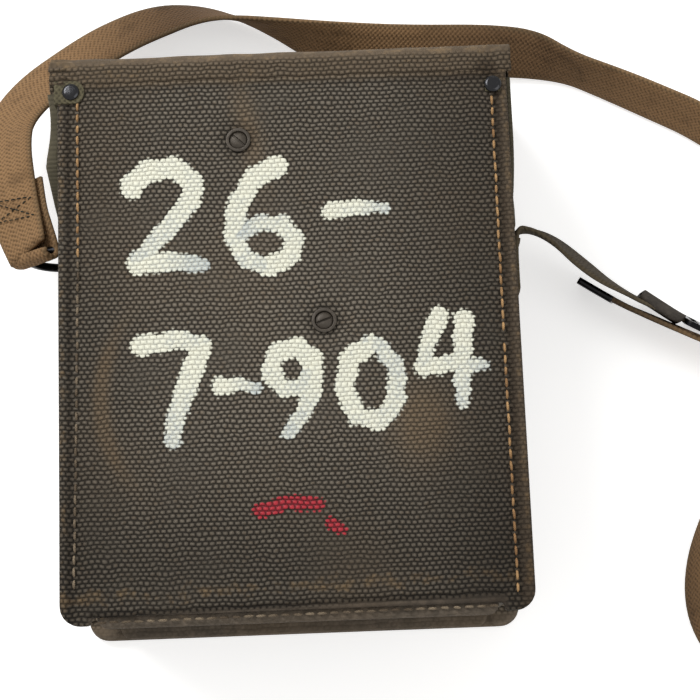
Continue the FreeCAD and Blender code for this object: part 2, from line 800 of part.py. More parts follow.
def generator():
    """The hand generator: magnets, pole shoes, end plates, geared shafts and armature."""
    middle = size("shaft_middle")
    up = shaft_up
    plate = size("plate_thick")
    left = size("left_plate_at")
    right = size("right_plate_at")
    inner = size("magnet_inner")
    outer = inner + size("magnet_thick")
    bend = magnet_bend
    foot = armature_up - inner

    magnets = []
    for index in range(SIZES["magnet_count"]):
        start = left + plate + size("magnet_gap") + index * (size("magnet_wide") + size("magnet_gap"))
        along = (start, start + size("magnet_wide"))
        legs = block(f"MagnetLegs{index}", along, (foot, bend), (middle - outer, middle + outer))
        arch = rod(f"MagnetArch{index}", "x", outer, along, (bend, middle))
        wide = (along[0] - 1, along[1] + 1)
        gap = block(f"MagnetGap{index}", wide, (foot - 1, bend), (middle - inner, middle + inner))
        hollow = rod(f"MagnetHollow{index}", "x", inner, wide, (bend, middle))
        magnets.append(cut(f"Magnet{index}", fuse(f"MagnetBar{index}", legs, arch), gap, hollow))
    keep("field_magnets", group("FieldMagnets", *magnets))

    first = left + plate + size("magnet_gap")
    last = first + size("magnet_count") * (size("magnet_wide") + size("magnet_gap")) - size("magnet_gap")
    shoe_bore = size("armature_radius") + size("armature_gap")
    between = (left + plate, right)
    bore = rod("ShoeBore", "x", shoe_bore, (left, right + 1), (armature_up, middle))
    shoes = [
        cut(f"{side}Shoe", block(f"{side}ShoeBlock", between, (foot, armature_up + inner), levels), bore)
        for side, levels in {
            "Front": (middle - inner, middle - size("web_thick")),
            "Back": (middle + size("web_thick"), middle + inner),
        }.items()
    ]
    keep("pole_shoes", group("PoleShoes", *shoes))

    margin = size("plate_margin")
    seat = chassis_back - size("sheet_steel")
    bearings = [
        rod("CrankBearing", "x", size("shaft_radius") + size("shaft_play"), (left - 5, right + 9),
            (up, middle)),
        rod("ArmatureBearing", "x", size("armature_shaft") + size("shaft_play"), (left - 5, right + 9),
            (armature_up, middle)),
    ]
    for side, at, feet, hub_end in (
        ("Left", left, (left - 8.0, left), left + plate),
        ("Right", right, (right, right + plate + 8.0), right + plate + 2.0),
    ):
        sheet_part = extrude(
            f"{side}PlateSheet", "x",
            [(foot - margin, middle - outer), (bend + outer, middle - outer), (bend + outer, seat),
             (foot - margin, seat)],
            (at, at + plate), [(10.0, (0, 1))],
        )
        flange = block(f"{side}PlateFoot", feet, (foot - margin, bend + outer), (seat - plate, seat))
        crank_hub = rod(f"{side}CrankHub", "x", 8.0, (at, hub_end), (up, middle))
        armature_hub = rod(f"{side}ArmatureHub", "x", 7.0, (at, hub_end), (armature_up, middle))
        solid = fuse(f"{side}PlateSolid", sheet_part, flange, crank_hub, armature_hub)
        keep(f"{side.lower()}_end_plate", cut(f"{side}EndPlate", solid, *bearings))

    shaft_end = right + plate + 3.0
    along = (size("gear_at"), size("gear_at") + size("gear_thick"))
    past = (along[0] - 1, along[1] + 1)
    big = gear_body("CrankGearBlank", SIZES["gear_teeth"], 0.0, along, up, middle)
    hollow = [
        rod(f"GearHole{index}", "x", 7.0, past,
            (up + 17.0 * math.cos(math.tau * index / 5), middle + 17.0 * math.sin(math.tau * index / 5)))
        for index in range(5)
    ]
    gear_bore = rod("GearBore", "x", size("shaft_radius"), past, (up, middle))
    keep("crank_gear", cut("CrankGear", big, gear_bore, *hollow))
    half_tooth = math.pi / SIZES["pinion_teeth"]
    small = gear_body("PinionBlank", SIZES["pinion_teeth"], half_tooth, past, armature_up, middle)
    keep("pinion", cut("Pinion", small, rod("PinionBore", "x", size("armature_shaft"),
                                            (along[0] - 2, along[1] + 2), (armature_up, middle))))
    keep("crank_shaft", fuse(
        "CrankShaft",
        rod("ShaftBar", "x", size("shaft_radius"), (-arm_out, shaft_end), (up, middle)),
        rod("ShaftCollar", "x", size("shaft_radius") + 2.0, (along[1], left - 0.4), (up, middle)),
        rod("ShaftThread", "x", size("shaft_radius") * 0.7, (-arm_out - 2.4, -arm_out), (up, middle)),
    ))

    core = rod("ArmatureCore", "x", size("armature_radius"), (first, last), (armature_up, middle))
    web = size("web_thick") / 2
    sides = {"Front": (middle - 20.0, middle - web), "Back": (middle + web, middle + 20.0)}
    slots = [
        block(f"{side}Slot", (first - 1, last + 1), (armature_up - 9.0, armature_up + 9.0), levels)
        for side, levels in sides.items()
    ]
    bar = rod("ArmatureBar", "x", size("armature_shaft"), (along[0] - 2, shaft_end), (armature_up, middle))
    keep("armature_core", fuse("Armature", cut("ArmatureSlotted", core, *slots), bar))
    winding = [
        common(
            f"{side}Winding",
            block(f"{side}WindingBlock", (first + 0.5, last - 0.5), (armature_up - 8.6, armature_up + 8.6),
                  levels),
            rod(f"{side}WindingRound", "x", size("armature_radius") - 1.0, (first, last),
                (armature_up, middle)),
        )
        for side, levels in sides.items()
    ]
    keep("armature_winding", group("ArmatureWinding", *winding))


arm_in = half_width + size("crank_gap")
arm_out = arm_in + size("arm_thick")


def crank():
    """The folding crank outside the case's left wall, stowed low along the wall."""
    middle = size("shaft_middle")
    up = shaft_up
    reach = size("crank_radius")
    width = size("arm_width")
    grip = size("grip_radius")
    side = size("arm_slot_side")
    pivot_x = -arm_in - grip
    turn = FreeCAD.Rotation(FreeCAD.Vector(1, 0, 0), SIZES["crank_rest"])

    def seated(piece):
        """Turn a piece drawn along -Y about the shaft to the stowed angle."""
        holder = doc.addObject("Part::Compound", piece.Name + "Seated")
        holder.Links = [piece]
        return put(holder, 0.0, up, middle, turn)

    eye = width / 2
    slot_end = -(reach + grip + side)
    slot_start = -(reach - size("grip_long") - side)
    plate = extrude(
        "ArmPlate", "x",
        [(0.0 + eye, -eye), (0.0 + eye, eye), (-reach - eye, eye), (-reach - eye, -eye)],
        (-arm_out, -arm_in), [(eye - 0.05, (0, 1, 2, 3))],
    )
    slot = block("ArmSlot", (-arm_out - 1, -arm_in + 1), (slot_end, slot_start), (-grip - side, grip + side))
    ears = [
        rod("EarLow", "z", 2.6, (-eye + 0.3, -grip - side), (pivot_x, -reach)),
        rod("EarHigh", "z", 2.6, (grip + side, eye - 0.3), (pivot_x, -reach)),
        block("EarFootLow", (pivot_x, -arm_in - size("arm_thick") / 2), (-reach - 2.6, -reach + 2.6),
              (-eye + 0.3, -grip - side)),
        block("EarFootHigh", (pivot_x, -arm_in - size("arm_thick") / 2), (-reach - 2.6, -reach + 2.6),
              (grip + side, eye - 0.3)),
    ]
    shaft_hole = rod("ArmShaftHole", "x", size("shaft_radius"), (-arm_out - 5, -arm_in + 1), (0.0, 0.0))
    pin_hole = rod("ArmPinHole", "z", size("grip_pin"), (-eye - 1, eye + 1), (pivot_x, -reach))
    arm = cut("CrankArm", fuse("ArmSolid", plate, *ears), slot, shaft_hole, pin_hole)
    keep("crank_arm", seated(arm))

    stem = rod("GripStem", "y", grip * 0.62, (-reach, -(reach - 9.0)), (pivot_x, 0.0))
    barrel = turned(
        "GripBarrel", "y", (pivot_x, 0.0),
        [(0.0, -(reach - 7.0)), (grip * 0.8, -(reach - 7.0)), (grip, -(reach - 10.0)),
         (grip * 0.9, -(reach - size("grip_long") / 2)), (grip, -(reach - size("grip_long") + 4.0)),
         (grip * 0.7, -(reach - size("grip_long"))), (0.0, -(reach - size("grip_long")))],
    )
    knuckle = rod("GripKnuckle", "z", grip, (-grip, grip), (pivot_x, -reach))
    bore = rod("GripBore", "z", size("grip_pin") + size("shaft_play"), (-eye, eye), (pivot_x, -reach))
    keep("crank_grip", seated(cut("CrankGrip", fuse("GripSolid", stem, barrel, knuckle), bore)))
    keep("grip_pin", seated(rod("GripPin", "z", size("grip_pin"), (-eye + 0.3, eye - 0.3),
                                (pivot_x, -reach))))

    nut_out = -arm_out - 2.6
    nut = extrude(
        "HubNutHex", "x",
        [(up + 6.0 * math.cos(math.tau * corner / 6), middle + 6.0 * math.sin(math.tau * corner / 6))
         for corner in range(6)],
        (nut_out, -arm_out),
    )
    nut_bore = rod("HubNutBore", "x", size("shaft_radius") * 0.7, (nut_out - 1, -arm_out + 1), (up, middle))
    keep("hub_nut", cut("HubNut", nut, nut_bore))

    lip = wall_out + size("bush_lip")
    keep("crank_bush", turned(
        "CrankBush", "x", (up, middle),
        [(size("shaft_radius") + size("shaft_play"), -lip), (size("bush_flange"), -lip),
         (size("bush_flange"), -wall_out), (size("bush_radius") - 0.02, -wall_out),
         (size("bush_radius") - 0.02, -wall_in + 1.5),
         (size("shaft_radius") + size("shaft_play"), -wall_in + 1.5)],
    ))


def ringer():
    """The bell: base plate on pillars, two coils, yoke, pivoted clapper and two gongs."""
    base = size("ringer_plate_at")
    steel = size("plate_thick")
    left = size("ringer_left")
    right = size("ringer_right")
    low = works_top + size("ringer_works_gap")
    high = deck_up - size("ringer_deck_gap")
    gong_up = high - size("gong_drop")
    at = (left + right) / 2
    top = base + steel
    level = top + size("coil_radius") + 2.0
    gong_side = size("gong_radius") + size("clapper_ball") + size("clapper_play")
    keep("ringer_plate", extrude(
        "RingerPlate", "z", [(left, low), (right, low), (right, high), (left, high)],
        (base, top), [(4.0, (0, 1, 2, 3))],
    ))
    pillars = [
        rod(f"Pillar{index}", "z", size("pillar_radius"), (top, chassis_back - size("sheet_steel")), place)
        for index, place in enumerate([
            (left + 5.0, low + 5.0), (right - 5.0, low + 5.0),
            (left + 5.0, high - 4.0), (right - 13.0, high - 3.0)])
    ]
    keep("ringer_pillars", group("RingerPillars", *pillars))

    start = low + 6.0
    spread = size("coil_spread") / 2
    coils = []
    cores = []
    for side, x in {"Left": at - spread, "Right": at + spread}.items():
        end = start + size("coil_long")
        coils.append(turned(
            f"{side}Coil", "y", (x, level),
            [(size("coil_core"), start), (size("coil_radius"), start), (size("coil_radius"), start + 1.5),
             (size("coil_radius") - 1.0, start + 1.5), (size("coil_radius") - 1.0, end - 1.5),
             (size("coil_radius"), end - 1.5), (size("coil_radius"), end), (size("coil_core"), end)],
        ))
        cores.append(rod(f"{side}Core", "y", size("coil_core"), (start, end + 2.0), (x, level)))
    keep("ringer_coils", group("RingerCoils", *coils))
    yoke = block("Yoke", (at - spread - 8.0, at + spread + 8.0), (start - 3.0, start), (top, level + 6.0))
    keep("ringer_yoke", fuse("RingerYoke", yoke, *cores))

    pivot_up = start + size("coil_long") + 6.0
    bar = block("ClapperBar", (at - spread - 5.0, at + spread + 5.0), (pivot_up - 2.0, pivot_up + 2.0),
                (level - 3.0, level + 3.0))
    pin = rod("ClapperPin", "z", 1.5, (top + 1.0, level + 6.0), (at, pivot_up))
    stalk = rod("ClapperStalk", "y", 0.9, (pivot_up, gong_up), (at, level))
    knob = ball("ClapperBall", size("clapper_ball"), at, gong_up, level)
    keep("clapper", fuse("Clapper", bar, pin, stalk, knob))
    bracket = extrude(
        "ClapperBracketSide", "x",
        [(pivot_up - 4.0, top), (pivot_up + 4.0, top), (pivot_up + 4.0, top + 0.8),
         (pivot_up - 4.0, top + 0.8)],
        (at - 5.0, at + 5.0),
    )
    bracket_bore = rod("BracketBore", "z", 1.5 + size("shaft_play"), (top - 1, top + 5), (at, pivot_up))
    post = block("BracketPost", (at - 5.0, at + 5.0), (pivot_up - 6.0, pivot_up - 4.0), (top, level + 5.0))
    arm = block("BracketArm", (at - 5.0, at + 5.0), (pivot_up - 6.0, pivot_up + 4.0),
                (level + 3.6, level + 5.0))
    keep("clapper_bracket", cut("ClapperBracket", fuse("BracketSolid", bracket, post, arm), bracket_bore,
                                rod("BracketBoreHigh", "z", 1.5 + size("shaft_play"), (level, level + 9.0),
                                    (at, pivot_up))))

    wall = size("gong_wall")
    radius = size("gong_radius")
    rim = level - size("clapper_ball")
    crown = rim + size("gong_height")
    shoulder = crown - size("gong_height") * 0.3
    gongs = [
        turned(f"{side}Gong", "z", (x, gong_up),
               [(2.0, crown), (radius * 0.55, crown), (radius * 0.85, shoulder), (radius, rim),
                (radius - wall, rim), (radius * 0.85 - wall, shoulder - wall),
                (radius * 0.55, crown - wall), (2.0, crown - wall)])
        for side, x in {"Left": at - gong_side, "Right": at + gong_side}.items()
    ]
    keep("gongs", group("Gongs", *gongs))
    posts = [
        turned(f"GongPost{index}", "z", (x, gong_up),
               [(0.0, top), (3.5, top), (3.5, crown - wall), (1.95, crown - wall), (1.95, crown),
                (3.6, crown), (3.6, crown + 2.0), (0.0, crown + 2.0)])
        for index, x in enumerate([at - gong_side, at + gong_side])
    ]
    keep("gong_posts", group("GongPosts", *posts))


def battery():
    """The cell tube beside the partition, its two cells, spring and screw cap."""
    middle = size("tube_middle")
    across = (tube_at, middle)
    deck_top = deck_up + size("deck_thick")
    room = size("cell_radius") + size("cell_gap")
    cell_top = deck_top - 6.0
    cell_low = cell_top - size("cell_long") * 2 - 3.0
    spring_low = cell_low - 6.0
    keep("battery_tube", turned(
        "BatteryTube", "y", across,
        [(0.0, spring_low - size("tube_wall")), (tube_radius, spring_low - size("tube_wall")),
         (tube_radius, deck_top), (room, deck_top), (room, spring_low), (0.0, spring_low)],
    ))
    cells = []
    for index in range(2):
        start = cell_low + index * (size("cell_long") + 1.5)
        end = start + size("cell_long") - 1.5
        cells.append(turned(
            f"Cell{index}", "y", across,
            [(0.0, start), (size("cell_radius"), start), (size("cell_radius"), end), (4.5, end),
             (4.5, end + 1.5), (0.0, end + 1.5)],
        ))
    keep("dry_cells", group("DryCells", *cells))
    coil = doc.addObject("Part::Feature", "CellSpring")
    turns = 3
    rise = (number(cell_low) - number(spring_low) - 1.2) / turns
    helix = Part.makeHelix(rise, rise * turns, 7.0)
    ring = Part.Wire(Part.makeCircle(0.6, FreeCAD.Vector(7.0, 0, 0), FreeCAD.Vector(0, 1, 0)))
    coil.Shape = helix.makePipeShell([ring], True, False)
    put(coil, tube_at, spring_low + 0.6, middle, AXIS_TURNS["y"])
    keep("cell_spring", coil)

    head = size("cap_head")
    cap = turned(
        "BatteryCapTurned", "y", across,
        [(0.0, deck_top - 4.0), (room - 0.3, deck_top - 4.0), (room - 0.3, deck_top + 0.3),
         (tube_radius + 1.5, deck_top + 0.3), (tube_radius + 1.5, deck_top + head - 1.0),
         (tube_radius + 0.5, deck_top + head), (0.0, deck_top + head)],
    )
    slot = block("CoinSlot", (tube_at - 10.0, tube_at + 10.0), (deck_top + head - 1.6, deck_top + head + 1),
                 (middle - 1.2, middle + 1.2))
    keep("battery_cap", cut("BatteryCap", cap, slot))


def deck_pieces():
    """The two line posts with their push caps, and the screw switch."""
    deck = deck_up
    top = deck + size("deck_thick")
    level = size("post_middle")
    stroke = size("post_stroke")
    posts = []
    for side in ("left", "right"):
        x = size(f"post_{side}")
        posts.append(turned(
            f"{side.title()}Post", "y", (x, level),
            [(0.0, deck - 4.0), (1.9, deck - 4.0), (1.9, top), (size("post_radius"), top),
             (size("post_radius"), top + 3.0), (2.0, top + 3.0), (2.0, top + 11.5), (0.0, top + 11.5)],
        ))
        start = top + 3.4 + stroke
        keep(f"{side}_push_cap", turned(
            f"{side.title()}PushCap", "y", (x, level),
            [(2.06, start), (size("post_radius"), start), (size("post_radius"), start + 4.0),
             (size("post_radius") - 1.2, start + 5.2), (2.06, start + 5.2)],
        ))
    keep("line_posts", group("LinePosts", *posts))
    stem = turned(
        "SwitchScrewTurned", "y", (size("switch_at"), level),
        [(0.0, deck - 5.0), (2.5, deck - 5.0), (2.5, top + 0.3), (size("switch_radius"), top + 0.3),
         (size("switch_radius"), top + 3.5), (size("switch_radius") - 1.0, top + 4.5), (0.0, top + 4.5)],
    )
    slot = block("SwitchSlot", (size("switch_at") - 8.0, size("switch_at") + 8.0), (top + 3.0, top + 9.0),
                 (level - 0.7, level + 0.7))
    keep("switch_screw", cut("SwitchScrew", stem, slot))


def circuit():
    """The induction coil and the capacitor, hung from the chassis back."""
    seat = chassis_back - size("sheet_steel")
    cheek = size("cheek_side")
    x = tube_at + 1.0
    level = seat - cheek / 2
    low = size("screw_right_up") + size("boss_radius") + 4.0
    cheeks = []
    for name, start in {"Low": low, "High": low + size("spool_long") - 3.0}.items():
        cheeks.append(extrude(
            f"Cheek{name}", "y",
            [(x - cheek / 2, level - cheek / 2), (x + cheek / 2, level - cheek / 2), (x + cheek / 2, seat),
             (x - cheek / 2, seat)],
            (start, start + 3.0), [(3.0, (0, 1))],
        ))
    spool = rod("Spool", "y", 5.0, (low + 1.0, low + size("spool_long") - 1.0), (x, level))
    keep("coil_bobbin", fuse("CoilBobbin", spool, *cheeks))
    keep("coil_winding", turned(
        "CoilWinding", "y", (x, level),
        [(5.0, low + 3.0), (size("spool_radius"), low + 3.0),
         (size("spool_radius"), low + size("spool_long") - 3.0), (5.0, low + size("spool_long") - 3.0)],
    ))
    left = size("ringer_left") + 16.0
    keep("capacitor", extrude(
        "Capacitor", "z",
        [(left, 14.0), (left + size("capacitor_wide"), 14.0),
         (left + size("capacitor_wide"), 14.0 + size("capacitor_long")),
         (left, 14.0 + size("capacitor_long"))],
        (seat - size("capacitor_high"), seat), [(3.0, (0, 1, 2, 3))],
    ))


def handset():
    """The handset in its well: handle with two cups, screwed caps, capsules and talk bar."""
    x = size("handset_at")
    cap = size("cap_radius")
    cup = size("cup_radius")
    lower = bottom_in + size("seat_gap") + cap
    upper = wall_top - size("receiver_drop")
    spine_out = back_in - size("back_gap")
    spine_in = spine_out - size("handle_thick")
    cup_back = spine_in + 4.0
    cup_front = cup_back - size("cup_depth") - 4.0
    wide = size("handle_wide") / 2
    bar = extrude(
        "HandleBar", "y",
        [(x - wide, spine_in), (x + wide, spine_in), (x + wide, spine_out), (x - wide, spine_out)],
        (lower, upper), [(5.5, (2, 3)), (3.0, (0, 1))],
    )
    ends = []
    for name, y in {"Receiver": upper, "Transmitter": lower}.items():
        ends.append(rod(f"{name}Cup", "z", cup, (cup_front, cup_back - 3.0), (x, y)))
        ends.append(taper(f"{name}Neck", "z", (cup, wide + 2.0), (cup_back - 3.0, spine_out - 3.0), (x, y)))
        ends.append(taper(f"{name}Crown", "z", (wide + 2.0, wide - 2.0), (spine_out - 3.0, spine_out),
                          (x, y)))
    rooms = [
        rod(f"{name}Room", "z", cup - 2.5, (cup_front - 1, cup_back - 5.0), (x, y))
        for name, y in {"Receiver": upper, "Transmitter": lower}.items()
    ]
    talk = size("talk_long") / 2
    half = size("talk_wide") / 2
    talk_at = (lower + upper) / 2
    pocket = block("TalkPocket", (x - half - 0.3, x + half + 0.3),
                   (talk_at - talk - 0.3, talk_at + talk + 0.3),
                   (spine_in - 1, spine_in + size("talk_stroke") + 3.0))
    keep("handset_handle", cut("HandsetHandle", fuse("HandleSolid", bar, *ends), *rooms, pocket))

    capsules = []
    for name, y in {"receiver": upper, "transmitter": lower}.items():
        depth = size("cap_depth")
        shell = turned(
            f"{name.title()}CapTurned", "z", (x, y),
            [(0.0, cup_front - depth), (cap * 0.72, cup_front - depth), (cap * 0.94, cup_front - depth + 2.5),
             (cap, cup_front - depth + 6.0), (cap, cup_front), (cup - 3.0, cup_front),
             (cup - 3.0, cup_front - depth + 3.0), (0.0, cup_front - depth + 3.0)],
        )
        through = (cup_front - depth - 1, cup_front - depth + 4)
        holes = [
            rod(f"{name.title()}Hole{index}", "z", 1.6, through,
                (x + 8.0 * math.cos(math.tau * index / 6), y + 8.0 * math.sin(math.tau * index / 6)))
            for index in range(6)
        ]
        holes.append(rod(f"{name.title()}HoleMiddle", "z", 1.6, through, (x, y)))
        keep(f"{name}_cap", cut(f"{name.title()}Cap", shell, *holes))
        capsules.append(turned(
            f"{name.title()}Capsule", "z", (x, y),
            [(0.0, cup_front - depth + 4.5), (cup - 4.5, cup_front - depth + 4.5),
             (cup - 3.3, cup_front - depth + 7.0), (cup - 3.3, cup_back - 9.0),
             (cup - 9.0, cup_back - 5.3), (0.0, cup_back - 5.3)],
        ))
    keep("sound_capsules", group("SoundCapsules", *capsules))
    keep("talk_bar", extrude(
        "TalkBar", "x",
        [(talk_at - talk, spine_in + 2.6), (talk_at - talk, spine_in - 1.0),
         (talk_at - talk + 6.0, spine_in - 3.0), (talk_at + talk - 6.0, spine_in - 3.0),
         (talk_at + talk, spine_in - 1.0), (talk_at + talk, spine_in + 2.6)],
        (x - half, x + half),
    ))


# Where the webbing runs: points on its middle line, and the tilt of its width from flat
LONG_ROUTE = [
    (-113.1, 44.0, 58.0, 45.0),
    (-114.2, 62.0, 54.5, 45.0),
    (-116.0, 82.0, 49.0, 43.0),
    (-120.5, 108.0, 40.0, 38.0),
    (-106.0, 142.0, 25.0, 25.0),
    (-78.0, 162.5, 15.0, 18.0),
    (-45.0, 168.5, 12.5, 20.0),
    (-22.0, 166.5, 13.0, 48.0),
    (-3.0, 160.5, 14.5, 90.0),
    (18.0, 156.5, 13.5, 132.0),
    (54.0, 152.0, 10.5, 155.0),
    (100.0, 148.5, 10.0, 152.0),
    (135.0, 141.0, 12.5, 128.0),
    (165.0, 128.0, 13.0, 118.0),
    (194.0, 108.0, 13.5, 112.0),
    (232.0, 72.0, 14.0, 98.0),
    (262.0, 24.0, 14.0, 90.0),
    (276.0, -34.0, 14.0, 90.0),
    (268.0, -96.0, 14.0, 90.0),
    (240.0, -144.0, 14.0, 84.0),
    (206.0, -156.0, 14.0, 76.0),
    (185.0, -132.0, 13.5, 72.0),
    (182.5, -98.0, 13.5, 72.0),
    (190.0, -62.0, 14.0, 84.0),
    (208.0, -32.0, 14.0, 90.0),
    (216.5, -14.0, 14.0, 90.0),
    (211.0, -4.5, 14.4, 96.0),
    (196.4, -2.8, 15.1, 108.0),
    (162.1, 13.6, 16.2, 108.0),
    (148.5, 19.2, 14.4, 96.0),
    (131.8, 29.0, 13.4, 90.0),
]
LONG_FOLD = [
    (-108.3, 44.0, 53.2, 45.0),
    (-111.3, 53.0, 52.3, 45.0),
    (-112.6, 62.0, 52.9, 45.0),
    (-114.1, 79.0, 48.2, 43.0),
]
SHORT_ROUTE = [
    (98.7, 21.2, 45.0, 90.0),
    (99.4, 35.0, 45.0, 90.0),
    (103.6, 47.0, 44.5, 90.0),
    (113.0, 47.5, 40.0, 82.0),
    (129.0, 38.0, 30.0, 62.0),
    (146.0, 28.6, 21.0, 66.0),
    (157.0, 22.8, 18.2, 72.0),
    (175.0, 13.13, 17.45, 72.0),
]
SHORT_FOLD = [
    (91.9, 21.2, 45.0, 90.0),
    (92.9, 26.5, 45.0, 90.0),
    (96.9, 34.0, 45.0, 90.0),
    (99.6, 42.5, 44.8, 90.0),
]
TIP_ROUTE = [
    (143.8, 21.27, 13.4, 90.0),
    (131.1, 29.45, 13.4, 90.0),
]
BUCKLE_PLACE = (182.5, 9.1, 17.1)
KEEPER_PLACE = (166.5, 17.72, 17.8)
BUCKLE_ALONG = (0.88, -0.475, -0.045)
BUCKLE_TILT = 72.0
BEND_STEPS = 3


def smoothed(route):
    """Stations along a route whose corners are replaced by arcs that leave its runs straight."""
    points = [FreeCAD.Vector(*station[:3]) for station in route]
    tilts = [station[3] for station in route]
    stations = [(points[0], tilts[0])]
    radii = []
    for index in range(1, len(points) - 1):
        back = points[index - 1] - points[index]
        ahead = points[index + 1] - points[index]
        reach = 0.45 * min(back.Length, ahead.Length)
        half_turn = (math.pi - back.getAngle(ahead)) / 2
        radii.append(reach / math.tan(max(half_turn, 0.001)))
        start = points[index] + back.normalize() * reach
        end = points[index] + ahead.normalize() * reach
        middle_in = points[index - 1].distanceToPoint(points[index])
        middle_out = points[index + 1].distanceToPoint(points[index])
        tilt_in = tilts[index] + (tilts[index - 1] - tilts[index]) * reach / middle_in
        tilt_out = tilts[index] + (tilts[index + 1] - tilts[index]) * reach / middle_out
        for step in range(BEND_STEPS + 1):
            share = step / BEND_STEPS
            place = start * (1 - share) ** 2 + points[index] * (2 * share * (1 - share)) + end * share ** 2
            stations.append((place, tilt_in + (tilt_out - tilt_in) * share))
    stations.append((points[-1], tilts[-1]))
    return stations, radii


def ribbon(route, width, thick):
    """A flat band: a faceted shell between the corners of its section at each station."""
    stations, radii = smoothed(route)
    corners = []
    length = 0.0
    for index, (place, tilt) in enumerate(stations):
        before = stations[max(index - 1, 0)][0]
        after = stations[min(index + 1, len(stations) - 1)][0]
        along = (after - before).normalize()
        side = along.cross(FreeCAD.Vector(0, 0, 1)).normalize()
        up = side.cross(along)
        across = side * math.cos(math.radians(tilt)) + up * math.sin(math.radians(tilt))
        normal = across.cross(along)
        corners.append([place + across * (width / 2 * u) + normal * (thick / 2 * v)
                        for u, v in ((1, 1), (-1, 1), (-1, -1), (1, -1))])
        length += (place - before).Length
    faces = [Part.Face(Part.makePolygon(corners[0] + [corners[0][0]])),
             Part.Face(Part.makePolygon(corners[-1][::-1] + [corners[-1][-1]]))]
    for one, two in zip(corners, corners[1:]):
        for k in range(4):
            n = (k + 1) % 4
            faces.append(Part.Face(Part.makePolygon([one[k], one[n], two[n], one[k]])))
            faces.append(Part.Face(Part.makePolygon([one[k], two[n], two[k], one[k]])))
    solid = Part.makeSolid(Part.makeShell(faces))
    if solid.Volume < 0:
        solid.reverse()
    share = solid.Volume / (length * width * thick)
    bends = f"least radius {min(radii):.1f} mm" if radii else "straight"
    print(f"band {length:.0f} mm long, volume {share:.3f} of section times length, {bends}, "
          f"least height {solid.BoundBox.ZMin:.2f} mm")
    return solid


def band(name, route, width, thick):
    piece = doc.addObject("Part::Feature", name)
    piece.Shape = ribbon(route, width, thick)
    return piece


def eye(name, place, across):
    """The round end of the webbing where it turns back round a ring's wire, a hair inside its faces."""
    loop = doc.addObject("Part::Cylinder", name)
    bind(loop, "Radius", size("ring_wire") + size("strap_clear") + size("strap_thick") - size("eye_inset"))
    bind(loop, "Height", size("strap_width"))
    middle = FreeCAD.Vector(*across).normalize()
    loop.Placement = FreeCAD.Placement(
        FreeCAD.Vector(*place) - middle * (SIZES["strap_width"] / 2),
        FreeCAD.Rotation(FreeCAD.Vector(0, 0, 1), middle),
    )
    return loop


def buckle_seat(piece, place):
    """Lay a piece drawn flat, with the strap along X, on the webbing at the buckle."""
    along = FreeCAD.Vector(*BUCKLE_ALONG).normalize()
    side = along.cross(FreeCAD.Vector(0, 0, 1)).normalize()
    up = side.cross(along)
    tilt = math.radians(BUCKLE_TILT)
    across = side * math.cos(tilt) + up * math.sin(tilt)
    holder = doc.addObject("Part::Compound", piece.Name + "Laid")
    holder.Links = [piece]
    rotation = FreeCAD.Rotation(along, across, along.cross(across), "XYZ")
    holder.Placement = FreeCAD.Placement(FreeCAD.Vector(*place), rotation)
    return holder


def strap():
    """The shoulder strap: long webbing from the left ring, short webbing with the buckle on the right."""
    width = SIZES["strap_width"]
    thick = SIZES["strap_thick"]
    clear = size("strap_clear")
    diagonal = math.sqrt(0.5)
    splay = math.radians(SIZES["right_ring_splay"])
    pivot = number(ring_pivot)
    reach = SIZES["ring_leg"] + SIZES["ring_bow"]
    left_point = (-(pivot + SIZES["ring_leg"] + SIZES["ring_bow"] * diagonal), SIZES["ring_up"],
                  SIZES["ring_middle"] + SIZES["ring_bow"] * diagonal)
    right_point = (pivot + reach * math.sin(splay), SIZES["ring_up"] - reach * math.cos(splay),
                   SIZES["ring_middle"])
    long_cloth = fuse(
        "LongCloth", band("LongBand", LONG_ROUTE, width, thick), band("LongFold", LONG_FOLD, width, thick),
        eye("LongEye", left_point, (1, 0, 1)), refine=False,
    )
    keep("shoulder_strap", cut("ShoulderStrap", long_cloth, wire_ring("LeftRingRoom", *LEFT_RING, clear)))
    short_cloth = fuse(
        "ShortCloth", band("ShortBand", SHORT_ROUTE, width, thick),
        band("ShortFold", SHORT_FOLD, width, thick),
        eye("ShortEye", right_point, (0, 0, 1)), refine=False,
    )
    keep("short_strap", cut("ShortStrap", short_cloth, wire_ring("RightRingRoom", *RIGHT_RING, clear)))

    tip = band("TipBand", TIP_ROUTE, width + 1.2, thick + 1.2)
    keep("strap_tip", cut("StrapTip", tip, band("TipRoom", LONG_ROUTE[-3:], width, thick)))

    half = size("strap_width") / 2
    frame = extrude(
        "BuckleOutline", "z",
        [(-8.2, -half - 4.0), (8.2, -half - 4.0), (8.2, half + 4.0), (-8.2, half + 4.0)],
        (-1.3, 1.3), [(4.0, (0, 1, 2, 3))],
    )
    windows = [
        block(f"BuckleWindow{index}", (x, x + 3.9), (-half - 0.8, half + 0.8), (-3.0, 3.0))
        for index, x in enumerate((-5.5, 1.6))
    ]
    keep("buckle_frame", buckle_seat(cut("BuckleFlat", frame, *windows), BUCKLE_PLACE))

    sleeve = extrude(
        "KeeperOutline", "x",
        [(-half - 2.0, -3.2), (half + 2.0, -3.2), (half + 2.0, 3.2), (-half - 2.0, 3.2)],
        (-6.0, 6.0), [(2.4, (0, 1, 2, 3))],
    )
    room = block("KeeperRoom", (-20.0, 20.0), (-half - 0.5, half + 0.5), (-1.7, 1.7))
    keep("strap_keeper", buckle_seat(cut("KeeperFlat", sleeve, room), KEEPER_PLACE))


case_canvas()
corner_tabs()
back_fasteners()
lid()
strap_rings()
chassis()
generator()
crank()
ringer()
battery()
deck_pieces()
circuit()
handset()
strap()
doc.recompute()

